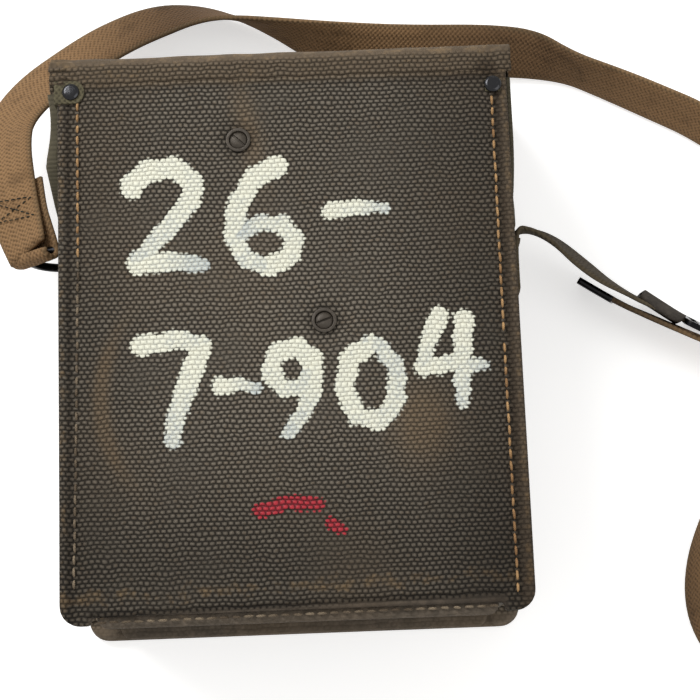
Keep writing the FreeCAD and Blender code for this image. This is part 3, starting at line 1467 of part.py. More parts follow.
os.makedirs("parts", exist_ok=True)
for item in doc.Objects:
    if "Invalid" in item.State or "Error" in item.State:
        raise RuntimeError(f"{item.Label} did not build: {item.State}")
for name, piece in PARTS.items():
    shape = piece.Shape
    if shape.isNull() or not shape.isValid():
        raise RuntimeError(f"{name} has no valid shape")
for name, piece in PARTS.items():
    piece.Shape.exportStep(f"parts/{name}.step")
print(f"{len(PARTS)} sub-parts written")
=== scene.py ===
"""A magneto field telephone in a worn canvas case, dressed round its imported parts.

The case lies on its front. The canvas, the webbing and the small fittings are modelled here,
and the parts inside the case get their finishes here.
"""

import bpy
import json
import logging
import math
from collections.abc import Callable, Sequence
from dataclasses import dataclass, field
from enum import Enum
from mathutils import Matrix, Vector, noise

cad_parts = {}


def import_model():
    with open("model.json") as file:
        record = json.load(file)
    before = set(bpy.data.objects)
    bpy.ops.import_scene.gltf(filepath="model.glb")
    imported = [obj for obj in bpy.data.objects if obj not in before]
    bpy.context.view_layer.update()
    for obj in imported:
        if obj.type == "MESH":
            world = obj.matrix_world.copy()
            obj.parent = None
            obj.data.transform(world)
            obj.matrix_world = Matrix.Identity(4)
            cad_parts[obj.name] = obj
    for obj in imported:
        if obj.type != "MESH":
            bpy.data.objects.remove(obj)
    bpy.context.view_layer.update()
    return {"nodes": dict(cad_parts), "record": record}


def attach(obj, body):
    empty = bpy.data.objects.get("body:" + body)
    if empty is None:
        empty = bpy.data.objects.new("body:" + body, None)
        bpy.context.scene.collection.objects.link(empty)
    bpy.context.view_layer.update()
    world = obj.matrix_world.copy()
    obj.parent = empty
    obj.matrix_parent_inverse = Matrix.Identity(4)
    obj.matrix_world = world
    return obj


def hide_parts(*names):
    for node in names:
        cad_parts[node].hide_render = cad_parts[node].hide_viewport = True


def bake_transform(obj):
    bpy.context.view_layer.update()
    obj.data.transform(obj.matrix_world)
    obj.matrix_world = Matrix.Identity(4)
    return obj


LOG = logging.getLogger("field_telephone")
Colour = tuple[float, float, float]
Place = tuple[float, float, float]
# Edges that turn further than this are bevelled and stay sharp in shading.
SHARP = math.radians(40.0)


def times(colour: Colour, share: float) -> Colour:
    """A colour made darker or lighter."""
    return tuple(part * share for part in colour)


class Bodies(Enum):
    """The rigid bodies that pieces ride on."""

    CASE = "case"
    LID = "lid"


def operator(operation: str) -> Callable[..., "Signal"]:
    """A method of a signal that adds one Math node.

    Args:
        operation: The node's operation.

    Returns:
        The method, which takes the node's further values.
    """
    def method(signal: "Signal", *others: "Signal | float") -> "Signal":
        """Add the node after the signal."""
        return signal.math(operation, *others)

    return method


class Signal:
    """One output of a material's nodes, with arithmetic that adds Math nodes."""

    def __init__(self, finish: "Finish", socket: bpy.types.NodeSocket) -> None:
        """Wrap a socket.

        Args:
            finish: The finish whose tree the socket is in.
            socket: The output socket.
        """
        self.finish = finish
        self.socket = socket

    def math(self, operation: str, *others: "Signal | float", clamp: bool = False) -> "Signal":
        """Add a Math node.

        Args:
            operation: The node's operation.
            others: Its second and third values.
            clamp: Whether its result is held between 0 and 1.

        Returns:
            The node's result.
        """
        values = dict(enumerate((self, *others)))
        return self.finish.node("ShaderNodeMath", values, operation=operation, use_clamp=clamp)

    __add__ = __radd__ = operator("ADD")
    __mul__ = __rmul__ = operator("MULTIPLY")
    __sub__ = operator("SUBTRACT")
    __truediv__ = operator("DIVIDE")
    __pow__ = operator("POWER")
    sine = operator("SINE")
    size = operator("ABSOLUTE")
    above = operator("GREATER_THAN")

    def __rsub__(self, other: float) -> "Signal":
        """Difference from a number."""
        return self.math("MULTIPLY", -1.0).math("ADD", other)

    def held(self) -> "Signal":
        """The value held between 0 and 1."""
        return self.math("ADD", 0.0, clamp=True)

    def between(self, low: float, high: float) -> "Signal":
        """A smooth rise from nought at low to one at high."""
        return self.finish.node("ShaderNodeMapRange", {0: self, 1: low, 2: high, 3: 0.0, 4: 1.0},
                                interpolation_type="SMOOTHSTEP")


class Finish:
    """A material while its nodes are laid out."""

    def __init__(self, name: str) -> None:
        """Start an empty material.

        Args:
            name: The material's name.
        """
        self.material = bpy.data.materials.new(name)
        self.material.use_nodes = True
        self.tree = self.material.node_tree
        self.tree.nodes.clear()

    def node(self, kind: str, values: dict[int | str, object] | None = None, result: int = 0,
             **settings: object) -> Signal:
        """Add a node.

        Args:
            kind: The node's type.
            values: A number, a colour or a signal for each socket.
            result: Which output to give back.
            settings: The node's own settings, set first.

        Returns:
            The chosen output.
        """
        made = self.tree.nodes.new(kind)
        for key, setting in settings.items():
            setattr(made, key, setting)
        for key, value in (values or {}).items():
            if isinstance(value, Signal):
                self.tree.links.new(value.socket, made.inputs[key])
            elif value is not None:
                made.inputs[key].default_value = value
        return Signal(self, made.outputs[result])

    def position(self) -> Signal:
        """Where the surface is, in the object's own frame."""
        return self.node("ShaderNodeTexCoord", result=3)

    def lay(self) -> Signal:
        """The piece's own UV map: metres along and across it."""
        return self.node("ShaderNodeTexCoord", result=2)

    def parts_of(self, vector: Signal) -> tuple[Signal, Signal, Signal]:
        """The three numbers of a vector."""
        split = self.node("ShaderNodeSeparateXYZ", {0: vector})
        return tuple(Signal(self, output) for output in split.socket.node.outputs)

    def facing(self) -> tuple[Signal, Signal, Signal]:
        """How much the surface faces along each axis of the object."""
        return self.parts_of(self.node("ShaderNodeTexCoord", result=1))

    def attribute(self, name: str) -> Signal:
        """A value stored at the mesh's points."""
        return self.node("ShaderNodeAttribute", result=2, attribute_name=name)

    def noise(self, vector: Signal, scale: float, detail: float = 3.0, rough: float = 0.55) -> Signal:
        """Fractal noise between 0 and 1."""
        return self.node("ShaderNodeTexNoise", {"Vector": vector, "Scale": scale, "Detail": detail,
                                                "Roughness": rough})

    def cells(self, vector: Signal, scale: float) -> Signal:
        """Distance to the nearest of scattered points."""
        return self.node("ShaderNodeTexVoronoi", {"Vector": vector, "Scale": scale})

    def mix(self, share: Signal | float, one: Signal | Colour, two: Signal | Colour,
            blend: str = "MIX") -> Signal:
        """Mix two colours."""
        pair = [value if isinstance(value, Signal) else (*value, 1.0) for value in (one, two)]
        return self.node("ShaderNodeMix", {0: share, 6: pair[0], 7: pair[1]}, 2, data_type="RGBA",
                         blend_type=blend)

    def bump(self, height: Signal, depth: float) -> Signal:
        """A normal from a height between 0 and 1, where 1 stands the given metres above 0."""
        return self.node("ShaderNodeBump", {"Height": height, "Distance": depth})

    def finished(self, base: Signal | Colour, rough: Signal | float, normal: Signal | None = None,
                 **others: object) -> bpy.types.Material:
        """Close the material with its shader.

        Args:
            base: The base colour.
            rough: The roughness.
            normal: The normal.
            others: Values of the shader's other sockets, with underscores for spaces.

        Returns:
            The material.
        """
        values: dict[int | str, object] = {
            "Base Color": base if isinstance(base, Signal) else (*base, 1.0),
            "Roughness": rough,
            "Normal": normal,
        }
        for key, value in others.items():
            values[key.replace("_", " ")] = value
        return self.closed(self.node("ShaderNodeBsdfPrincipled", values))

    def closed(self, shader: Signal) -> bpy.types.Material:
        """Join a shader to the material's surface."""
        out = self.tree.nodes.new("ShaderNodeOutputMaterial")
        self.tree.links.new(shader.socket, out.inputs["Surface"])
        return self.material


@dataclass(frozen=True)
class Canvas:
    """Coarse woven canvas: rows of wide bumps, stains, wear, painted shade and brushed paint."""

    name: str
    crown: Colour = (0.290, 0.251, 0.197)
    # The colour of the weave's hollows: painted shade between the threads.
    pit_shade: Colour = (0.046, 0.038, 0.028)
    worn: Colour = (0.460, 0.310, 0.155)
    polished: Colour = (0.190, 0.150, 0.112)
    warp: float = 0.0026
    weft: float = 0.0019
    relief: float = 0.0009
    sharp: float = 1300.0
    painted: bool = False

    def weave(self, cloth: Finish) -> tuple[Signal, Signal]:
        """The weave's height and how far each thread strays.

        Args:
            cloth: The finish it belongs to.

        Returns:
            The height between 0 and 1, and a slow noise.
        """
        place = cloth.position()
        x, y, z = cloth.parts_of(place)
        facing_x, _, facing_z = cloth.facing()
        sideways = facing_x.size().above(0.6)
        upward = facing_z.size().above(0.6)
        sway = cloth.noise(place, 55.0, 2.0)
        stray = cloth.noise(place, 130.0, 2.0)
        across = x + (y - x) * sideways + (sway - 0.5) * 0.0030
        along = z + (y - z) * upward + (stray - 0.5) * 0.0022
        rows = along / self.weft
        shift = rows.math("FLOOR").math("MODULO", 2.0) * 0.5
        bump_x = ((across / self.warp + shift).math("FRACT") * math.pi).sine()
        bump_y = (rows.math("FRACT") * math.pi).sine()
        lumps = cloth.noise(place, 520.0, 2.0)
        bumps = (bump_x * bump_y) ** 0.75 * (0.70 + lumps * 0.55)
        flat = cloth.attribute("smooth")
        height = bumps * (1.0 - flat * 0.85) + flat * (0.36 + lumps * 0.22)
        return height, stray

    def material(self) -> bpy.types.Material:
        """Build the material."""
        cloth = Finish(self.name)
        place = cloth.position()
        height, stray = self.weave(cloth)
        broad = cloth.noise(place, 9.0, 4.0)
        patch = cloth.noise(place, 34.0, 5.0, 0.65)
        fleck = cloth.noise(place, 210.0, 4.0, 0.65)
        fibre = cloth.noise(place, 1500.0, 2.0)
        crown = cloth.mix(broad.between(0.35, 0.68), self.crown, times(self.crown, 0.76))
        crown = cloth.mix(fibre.between(0.35, 0.70) * 0.8, times(self.crown, 0.72), crown)
        warm = cloth.noise(place, 420.0, 2.0).between(0.52, 0.66) * 0.45
        crown = cloth.mix(warm, crown, (0.185, 0.135, 0.086))
        # The hollows between the threads take the pit colour, as painted shade.
        base = cloth.mix(height.between(0.22, 0.90), self.pit_shade, crown)
        grime = patch.between(0.48, 0.70) * 0.45
        base = cloth.mix(grime, base, times(self.crown, 0.40))
        polish = cloth.mix(fleck.between(0.40, 0.66), times(self.polished, 0.62), self.polished)
        base = cloth.mix(cloth.attribute("smooth") * 0.8, base, polish)
        stain = cloth.attribute("stain")
        stained = (stain * (0.45 + patch * 1.1)).held() * (0.30 + height * 0.70)
        base = cloth.mix(stained * 0.75, base, (0.270, 0.188, 0.108))
        wear = cloth.attribute("wear")
        rubbed = (wear * 1.05 + fleck * 2.4 + patch * 0.8 - 2.12).held() * (0.30 + height * 0.90)
        base = cloth.mix(rubbed.held(), base, self.worn)
        base = cloth.mix(cloth.attribute("shade"), base, (0.30, 0.28, 0.26), "MULTIPLY")
        rough: Signal | float = 0.86
        level = height + fibre * 0.16
        if self.painted:
            base, rough, level = self.paint(cloth, base, height, stray)
        normal = cloth.bump(level, self.relief)
        return cloth.finished(base, rough, normal, Specular_IOR_Level=0.28)

    def paint(self, cloth: Finish, base: Signal, height: Signal,
              stray: Signal) -> tuple[Signal, Signal, Signal]:
        """Lay the brushed marks over the weave.

        Args:
            cloth: The finish.
            base: The colour so far.
            height: The weave's height.
            stray: A slow noise.

        Returns:
            The colour, the roughness and the height with the paint on.
        """
        place = cloth.position()
        brush = cloth.noise(place, 260.0, 3.0)
        load = cloth.attribute("load")
        edge = cloth.attribute("mark") * self.sharp + (height - 0.55) * 1.7
        edge = edge + (brush - 0.5) * 2.4 + (load - 0.62) * 2.1
        mask = (edge + 0.5).held()
        thin = ((1.0 - load) * 1.2 + (brush - 0.5) * 1.2 + (0.5 - height) * 0.9).held()
        cream = cloth.mix(thin, (0.90, 0.895, 0.735), (0.50, 0.555, 0.565))
        # The cream is painted darker in the weave's hollows: painted shade.
        cream = cloth.mix((0.42 - height).held() * 1.3, cream, (0.52, 0.47, 0.33))
        base = cloth.mix(mask, base, cream)
        red_edge = cloth.attribute("red") * self.sharp + (height - 0.5) * 2.0 + (brush - 0.5) * 2.6
        red_mask = (red_edge + 0.5).held()
        # The red is darker in the weave's hollows and brighter on its crowns: painted shade.
        red = cloth.mix(height.between(0.3, 0.8), (0.16, 0.010, 0.016), (0.47, 0.032, 0.045))
        base = cloth.mix(red_mask, base, red)
        covered = mask.math("MAXIMUM", red_mask)
        specks = cloth.cells(place, 75.0)
        speck = (0.021 - specks).held().above(0.0001) * stray.above(0.60)
        base = cloth.mix(speck * 0.7, base, (0.75, 0.73, 0.62))
        return base, 0.86 - covered * 0.36, height * (1.0 - covered * 0.35) + covered * 0.45


@dataclass(frozen=True)
class Webbing:
    """Flat cotton webbing with slanting ribs, read along and across the strap."""

    name: str
    light: Colour
    dark: Colour
    rib: float = 0.00112
    pick: float = 0.00125
    soil: float = 0.5
    slant: float = 0.45
    edge: Colour = (0.150, 0.118, 0.068)

    def material(self) -> bpy.types.Material:
        """Build the material."""
        cloth = Finish(self.name)
        along, across, _ = cloth.parts_of(cloth.lay())
        place = cloth.position()
        sway = cloth.noise(place, 180.0, 2.0) - 0.5
        row = (along * (math.pi / self.rib) + sway * 1.4).sine()
        column = (across * (math.pi / self.pick) + sway * 1.1).sine()
        slant = ((along + across * self.slant) * (math.pi / self.rib)).sine()
        height = (row * column * 0.5 + 0.5) * 0.75 + (slant * 0.5 + 0.5) * 0.25
        broad = cloth.noise(place, 16.0, 4.0)
        patch = cloth.noise(place, 70.0, 5.0, 0.62)
        fibre = cloth.noise(place, 1700.0, 2.0)
        base = cloth.mix((broad * 0.9 + patch * 0.5 - 0.25).held(), self.light, tuple(
            one * 0.62 + two * 0.38 for one, two in zip(self.light, self.dark)))
        # The hollows of the weave take the dark colour: painted shade.
        base = cloth.mix(height.between(0.62, 0.12) * 0.85, base, self.dark)
        base = cloth.mix(fibre * 0.30, base, times(self.light, 1.4))
        soil = patch.between(0.50, 0.78) * self.soil
        base = cloth.mix(soil, base, times(self.dark, 0.6))
        base = cloth.mix(cloth.attribute("shade"), base, (0.17, 0.155, 0.17), "MULTIPLY")
        selvedge = across.size().between(0.0098, 0.0122)
        base = cloth.mix(selvedge * 0.30, base, self.edge)
        normal = cloth.bump(height + fibre * 0.25, 0.00045)
        return cloth.finished(base, 0.88, normal, Specular_IOR_Level=0.22)


@dataclass(frozen=True)
class Metal:
    """Metal or painted metal, rubbed and specked."""

    name: str
    colour: Colour
    rubbed: Colour
    rough: float = 0.35
    metallic: float = 1.0
    rub: float = 0.35
    grain: float = 900.0

    def material(self) -> bpy.types.Material:
        """Build the material."""
        metal = Finish(self.name)
        place = metal.position()
        broad = metal.noise(place, 60.0, 4.0)
        fine = metal.noise(place, self.grain, 3.0)
        mask = (broad * 0.7 + fine * 0.5 - (0.95 - self.rub)).between(0.0, 0.22)
        base = metal.mix(mask, self.colour, self.rubbed)
        base = metal.mix(fine * 0.25, base, times(self.colour, 0.5))
        rough = self.rough + (broad - 0.5) * 0.22 + mask * 0.08
        normal = metal.bump(fine, 0.00006)
        return metal.finished(base, rough, normal, Metallic=self.metallic)


@dataclass(frozen=True)
class Moulding:
    """Phenolic moulding, fibre laminate or card: a smooth or mottled dielectric."""

    name: str
    colour: Colour
    mottle: Colour
    rough: float = 0.28
    scale: float = 90.0
    relief: float = 0.00005

    def material(self) -> bpy.types.Material:
        """Build the material."""
        body = Finish(self.name)
        place = body.position()
        broad = body.noise(place, self.scale, 4.0)
        fine = body.noise(place, 1200.0, 2.0)
        base = body.mix(broad.between(0.38, 0.70), self.colour, self.mottle)
        rough = self.rough + (broad - 0.5) * 0.25 + fine * 0.08
        return body.finished(base, rough, body.bump(fine, self.relief), Specular_IOR_Level=0.5)


@dataclass(frozen=True)
class Winding:
    """Enamelled wire wound in close turns round an axis."""

    name: str
    colour: Colour
    gap: Colour
    axis: int = 1
    pitch: float = 0.0008

    def material(self) -> bpy.types.Material:
        """Build the material."""
        coil = Finish(self.name)
        place = coil.position()
        along = coil.parts_of(place)[self.axis]
        turns = (along * (math.tau / self.pitch)).sine() * 0.5 + 0.5
        broad = coil.noise(place, 120.0, 3.0)
        # The gaps between the turns are painted dark: painted shade.
        base = coil.mix((1.0 - turns) * 0.75, self.colour, self.gap)
        base = coil.mix(broad * 0.35, base, times(self.colour, 0.5))
        return coil.finished(base, 0.42 + broad * 0.15, coil.bump(turns, 0.0002), Specular_IOR_Level=0.5)


@dataclass(frozen=True)
class Leather:
    """Grey-brown harness leather with creases, painted darker in their hollows as painted shade, and lighter
    where its stored wear says.
    """

    name: str
    colour: Colour
    crease: Colour

    def material(self) -> bpy.types.Material:
        """Build the material."""
        hide = Finish(self.name)
        place = hide.position()
        grain = hide.cells(place, 900.0)
        crease = hide.noise(place, 140.0, 5.0, 0.7)
        # The hollows of the creases take the darker colour: painted shade.
        base = hide.mix(crease.between(0.42, 0.62), self.crease, self.colour)
        base = hide.mix(hide.attribute("wear") * 0.8, base, times(self.colour, 2.6))
        height = grain * 0.5 + crease
        return hide.finished(base, 0.52 + crease * 0.2, hide.bump(height, 0.00035), Specular_IOR_Level=0.4)


@dataclass(frozen=True)
class Yarn:
    """Waxed sewing thread, mottled with dirt, and darker in the grooves of its twist: painted shade."""

    name: str
    colour: Colour
    # The dirt colour, which also gives the painted shade in the twist's grooves.
    dirt_and_groove_shade: Colour

    def material(self) -> bpy.types.Material:
        """Build the material."""
        thread = Finish(self.name)
        place = thread.position()
        x, y, z = thread.parts_of(place)
        twist = ((x + y + z) * (math.tau / 0.0009)).sine() * 0.5 + 0.5
        broad = thread.noise(place, 70.0, 4.0)
        base = thread.mix(broad.between(0.34, 0.66), self.colour, self.dirt_and_groove_shade)
        # The grooves of the twist are painted darker: painted shade.
        base = thread.mix((1.0 - twist) * 0.5, base, times(self.dirt_and_groove_shade, 0.4))
        return thread.finished(base, 0.78, thread.bump(twist, 0.00012), Specular_IOR_Level=0.25)


def linked(name: str, data: bpy.types.ID) -> bpy.types.Object:
    """Put a new object with the given data in the scene."""
    made = bpy.data.objects.new(name, data)
    bpy.context.scene.collection.objects.link(made)
    return made


def lonely(piece: bpy.types.Object) -> None:
    """Select one object alone and make it the active one."""
    if bpy.context.mode != "OBJECT":
        bpy.ops.object.mode_set(mode="OBJECT")
    bpy.ops.object.select_all(action="DESELECT")
    piece.select_set(True)
    bpy.context.view_layer.objects.active = piece


def dressed(piece: bpy.types.Object, material: bpy.types.Material) -> None:
    """Give a piece one material all over."""
    piece.data.materials.clear()
    piece.data.materials.append(material)
    for face in piece.data.polygons:
        face.material_index = 0


def stored(piece: bpy.types.Object, **rules: Callable[[Vector], float]) -> None:
    """Store values at each of the mesh's points.

    Args:
        piece: The mesh object.
        rules: Under each attribute's name, what gives the value for a point.
    """
    for name, rule in rules.items():
        values = piece.data.attributes.new(name, "FLOAT", "POINT")
        values.data.foreach_set("value", [rule(vertex.co) for vertex in piece.data.vertices])


def moved(piece: bpy.types.Object, rule: Callable[[Vector], Vector]) -> None:
    """Move each of the mesh's points by what a rule gives."""
    for vertex in piece.data.vertices:
        vertex.co += rule(vertex.co.copy())
    piece.data.update()


def held(value: float) -> float:
    """The value held between 0 and 1."""
    return max(0.0, min(1.0, value))


def wander(x: float, y: float, z: float) -> float:
    """Smooth noise about nought, read at a point."""
    return noise.noise(Vector((x, y, z)))


def swell(value: float, middle: float, width: float) -> float:
    """A smooth hump that is 1 at its middle."""
    return math.exp(-((value - middle) / width) ** 2)


def edited(piece: bpy.types.Object, *steps: Callable[[], object]) -> None:
    """Take steps on the whole of one mesh in edit mode."""
    lonely(piece)
    bpy.ops.object.mode_set(mode="EDIT")
    bpy.ops.mesh.select_all(action="SELECT")
    for step in steps:
        step()
    bpy.ops.object.mode_set(mode="OBJECT")


def copied(node: bpy.types.Object, name: str, *steps: Callable[[], object]) -> bpy.types.Object:
    """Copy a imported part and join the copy's doubled points.

    Args:
        node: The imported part.
        name: The copy's name.
        steps: What is done to the joined mesh in edit mode.

    Returns:
        The new piece.
    """
    piece = linked(name, node.data.copy())
    edited(piece, lambda: bpy.ops.mesh.remove_doubles(threshold=0.00001), *steps)
    return piece


def softened(node: bpy.types.Object, name: str, voxel: float, rounds: int = 2) -> bpy.types.Object:
    """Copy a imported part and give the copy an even, rounded skin.

    Args:
        node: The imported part.
        name: The copy's name.
        voxel: The size of the new mesh's faces, in metres.
        rounds: How many times it is smoothed.

    Returns:
        The new piece.
    """
    piece = copied(node, name)
    piece.data.remesh_voxel_size = voxel
    bpy.ops.object.voxel_remesh()
    smooth = piece.modifiers.new("Smooth", "SMOOTH")
    smooth.factor = 0.5
    smooth.iterations = rounds
    bpy.ops.object.modifier_apply(modifier=smooth.name)
    bpy.ops.object.shade_smooth()
    return piece


def rounded(node: bpy.types.Object, name: str, width: float) -> bpy.types.Object:
    """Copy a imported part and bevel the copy's sharp edges.

    Args:
        node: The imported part.
        name: The copy's name.
        width: The bevel's width, in metres.

    Returns:
        The new piece.
    """
    piece = copied(node, name, lambda: bpy.ops.mesh.dissolve_limited(angle_limit=math.radians(2.0)))
    bevel = piece.modifiers.new("Bevel", "BEVEL")
    bevel.width = width
    bevel.segments = 2
    bevel.limit_method = "ANGLE"
    bevel.angle_limit = SHARP
    bpy.ops.object.modifier_apply(modifier=bevel.name)
    bpy.ops.object.shade_smooth_by_angle(angle=SHARP)
    return piece


def tube(rings: int, size: int, base: int = 0) -> list[list[int]]:
    """The faces of a tube with closed ends.

    Args:
        rings: How many rings of points it has.
        size: How many points each ring has.
        base: The number of its first point.

    Returns:
        The faces.
    """
    faces = []
    for first in range(base, base + (rings - 1) * size, size):
        for corner in range(size):
            one, two = first + corner, first + (corner + 1) % size
            faces.append([one, two, two + size, one + size])
    faces.append([base + corner for corner in range(size - 1, -1, -1)])
    faces.append([base + (rings - 1) * size + corner for corner in range(size)])
    return faces


def meshed(name: str, points: Sequence[Vector], faces: Sequence[Sequence[int]]) -> bpy.types.Object:
    """A mesh object of given points and faces, smooth shaded."""
    mesh = bpy.data.meshes.new(name)
    mesh.from_pydata([tuple(point) for point in points], [], [tuple(face) for face in faces])
    mesh.update()
    piece = linked(name, mesh)
    lonely(piece)
    bpy.ops.object.shade_smooth()
    return piece


@dataclass(frozen=True)
class Thread:
    """Sewing thread laid in separate stitches along a line."""

    radius: float = 0.00056
    stitch: float = 0.0045
    gap: float = 0.0004
    lift: float = 0.00055
    sides: int = 6

    RINGS = ((-0.5, 0.35, -0.9), (-0.34, 0.9, 0.35), (0.0, 1.0, 1.0), (0.34, 0.9, 0.35), (0.5, 0.35, -0.9))

    def run(self, name: str, line: Sequence[Place], up: Place, seed: float) -> bpy.types.Object:
        """Sew along a line.

        Args:
            name: The piece's name.
            line: The corners of the line.
            up: The way the surface faces.
            seed: Sets how the stitches stray.

        Returns:
            The stitches, as one piece.
        """
        out = Vector(up).normalized()
        points: list[Vector] = []
        faces: list[list[int]] = []
        for one, two in zip(line, line[1:]):
            start, end = Vector(one), Vector(two)
            way = (end - start).normalized()
            side = out.cross(way)
            count = max(1, int((end - start).length / (self.stitch + self.gap)))
            for index in range(count):
                at = start + way * ((self.stitch + self.gap) * (index + 0.5))
                stray = wander(index * 0.71, seed, at.x * 40.0)
                slip = wander(index * 0.53, seed + 9.0, 0.0)
                turn = way + side * (stray * 0.16)
                self._stitch(points, faces, at + side * (slip * 0.0003), turn.normalized(), out,
                             self.stitch * (0.84 + stray * 0.22))
        return meshed(name, points, faces)

    def _stitch(self, points: list[Vector], faces: list[list[int]], at: Vector, way: Vector, out: Vector,
                length: float) -> None:
        """Add one bowed stitch, whose rings each have a place along it, a width and a lift."""
        side = out.cross(way)
        faces.extend(tube(len(self.RINGS), self.sides, len(points)))
        for share, width, lift in self.RINGS:
            middle = at + way * (length * share) + out * (self.lift * lift)
            for corner in range(self.sides):
                angle = math.tau * corner / self.sides
                way_out = side * math.cos(angle) + out * math.sin(angle)
                points.append(middle + way_out * (self.radius * width))


@dataclass
class Ribbon:
    """Flat webbing along a smooth route, turned about its line as the route says."""

    name: str
    route: Sequence[tuple[float, float, float, float]]
    width: float = 0.025
    thick: float = 0.0022
    smoothness: int = 8
    wave: float = 0.0004
    path: list[Vector] = field(default_factory=list)

    SECTION = (
        (-1.0, -0.35), (-0.965, -0.85), (-0.6, -1.0), (-0.2, -1.0), (0.2, -1.0), (0.6, -1.0), (0.965, -0.85),
        (1.0, -0.35), (1.0, 0.35), (0.965, 0.85), (0.6, 1.0), (0.2, 1.0), (-0.2, 1.0), (-0.6, 1.0),
        (-0.965, 0.85), (-1.0, 0.35),
    )

    def _spline(self, places: Sequence[Vector]) -> list[Vector]:
        """Points read from a smooth spline with the given control points."""
        curve = bpy.data.curves.new("Line", "CURVE")
        curve.dimensions = "3D"
        curve.resolution_u = self.smoothness
        spline = curve.splines.new("NURBS")
        spline.points.add(len(places) - 1)
        for point, place in zip(spline.points, places):
            point.co = (*place, 1.0)
        spline.order_u = 3
        spline.use_endpoint_u = True
        holder = linked("Line", curve)
        mesh = bpy.data.meshes.new_from_object(holder)
        line = [vertex.co.copy() for vertex in mesh.vertices]
        bpy.data.objects.remove(holder)
        bpy.data.curves.remove(curve)
        bpy.data.meshes.remove(mesh)
        return line

    @staticmethod
    def _heading(places: Sequence[Vector], index: int) -> Vector:
        """Which way a line of places runs at one of them."""
        return (places[min(index + 1, len(places) - 1)] - places[max(index - 1, 0)]).normalized()

    def _edges(self) -> list[Vector]:
        """A second row of control points, half a width across from the route."""
        places = [Vector(station[:3]) for station in self.route]
        rows = []
        for index, place in enumerate(places):
            along = self._heading(places, index)
            side = along.cross(Vector((0.0, 0.0, 1.0))).normalized()
            up = side.cross(along)
            tilt = math.radians(self.route[index][3])
            rows.append(place + (side * math.cos(tilt) + up * math.sin(tilt)) * (self.width / 2))
        return rows

    def build(self) -> bpy.types.Object:
        """Build the webbing's mesh with its UV map in metres.

        Returns:
            The piece.
        """
        self.path = self._spline([Vector(station[:3]) for station in self.route])
        edge = self._spline(self._edges())
        points: list[Vector] = []
        travel = [0.0]
        for one, two in zip(self.path, self.path[1:]):
            travel.append(travel[-1] + (two - one).length)
        for index, middle in enumerate(self.path):
            along = self._heading(self.path, index)
            across = edge[index] - middle
            across = (across - along * across.dot(along)).normalized()
            normal = across.cross(along)
            ripple = wander(travel[index] * 22.0, len(self.route), 0.0)
            half = self.width / 2 * (1.0 + ripple * 0.016)
            for u, v in self.SECTION:
                lift = wander(travel[index] * 30.0, u * 1.2, 3.0) * self.wave
                points.append(middle + across * (half * u) + normal * (self.thick / 2 * v + lift))
        size = len(self.SECTION)
        piece = meshed(self.name, points, tube(len(self.path), size))
        layer = piece.data.uv_layers.new(name="Lay")
        for loop in piece.data.loops:
            ring, corner = divmod(loop.vertex_index, size)
            layer.data[loop.index].uv = (travel[ring], self.SECTION[corner][0] * self.width / 2)
        edited(piece, lambda: bpy.ops.mesh.normals_make_consistent(inside=False))
        return piece


@dataclass(frozen=True)
class Stroke:
    """One brushed stroke on the back panel: its line and half its width, in millimetres."""

    line: tuple[tuple[float, float], ...]
    half: float
    dry: float = 0.5

    def near(self, x: float, y: float) -> tuple[float, float]:
        """How deep a point is inside the stroke, and how far along the stroke it is.

        Args:
            x: The point across the panel, in millimetres.
            y: The point up the panel, in millimetres.

        Returns:
            The depth in millimetres, negative outside, and the share of the stroke's length.
        """
        if not any(abs(x - x0) < 30.0 and abs(y - y0) < 30.0 for x0, y0 in self.line):
            return -10.0, 0.0
        best = (-10.0, 0.0)
        spans = [math.dist(one, two) for one, two in zip(self.line, self.line[1:])]
        total = sum(spans)
        gone = 0.0
        for (x0, y0), (x1, y1), span in zip(self.line, self.line[1:], spans):
            share = held(((x - x0) * (x1 - x0) + (y - y0) * (y1 - y0)) / (span * span))
            away = math.hypot(x - x0 - (x1 - x0) * share, y - y0 - (y1 - y0) * share)
            along = (gone + span * share) / total
            depth = self.half * (1.0 - 0.12 * along) - away
            if depth > best[0]:
                best = (depth, along)
            gone += span
        return best


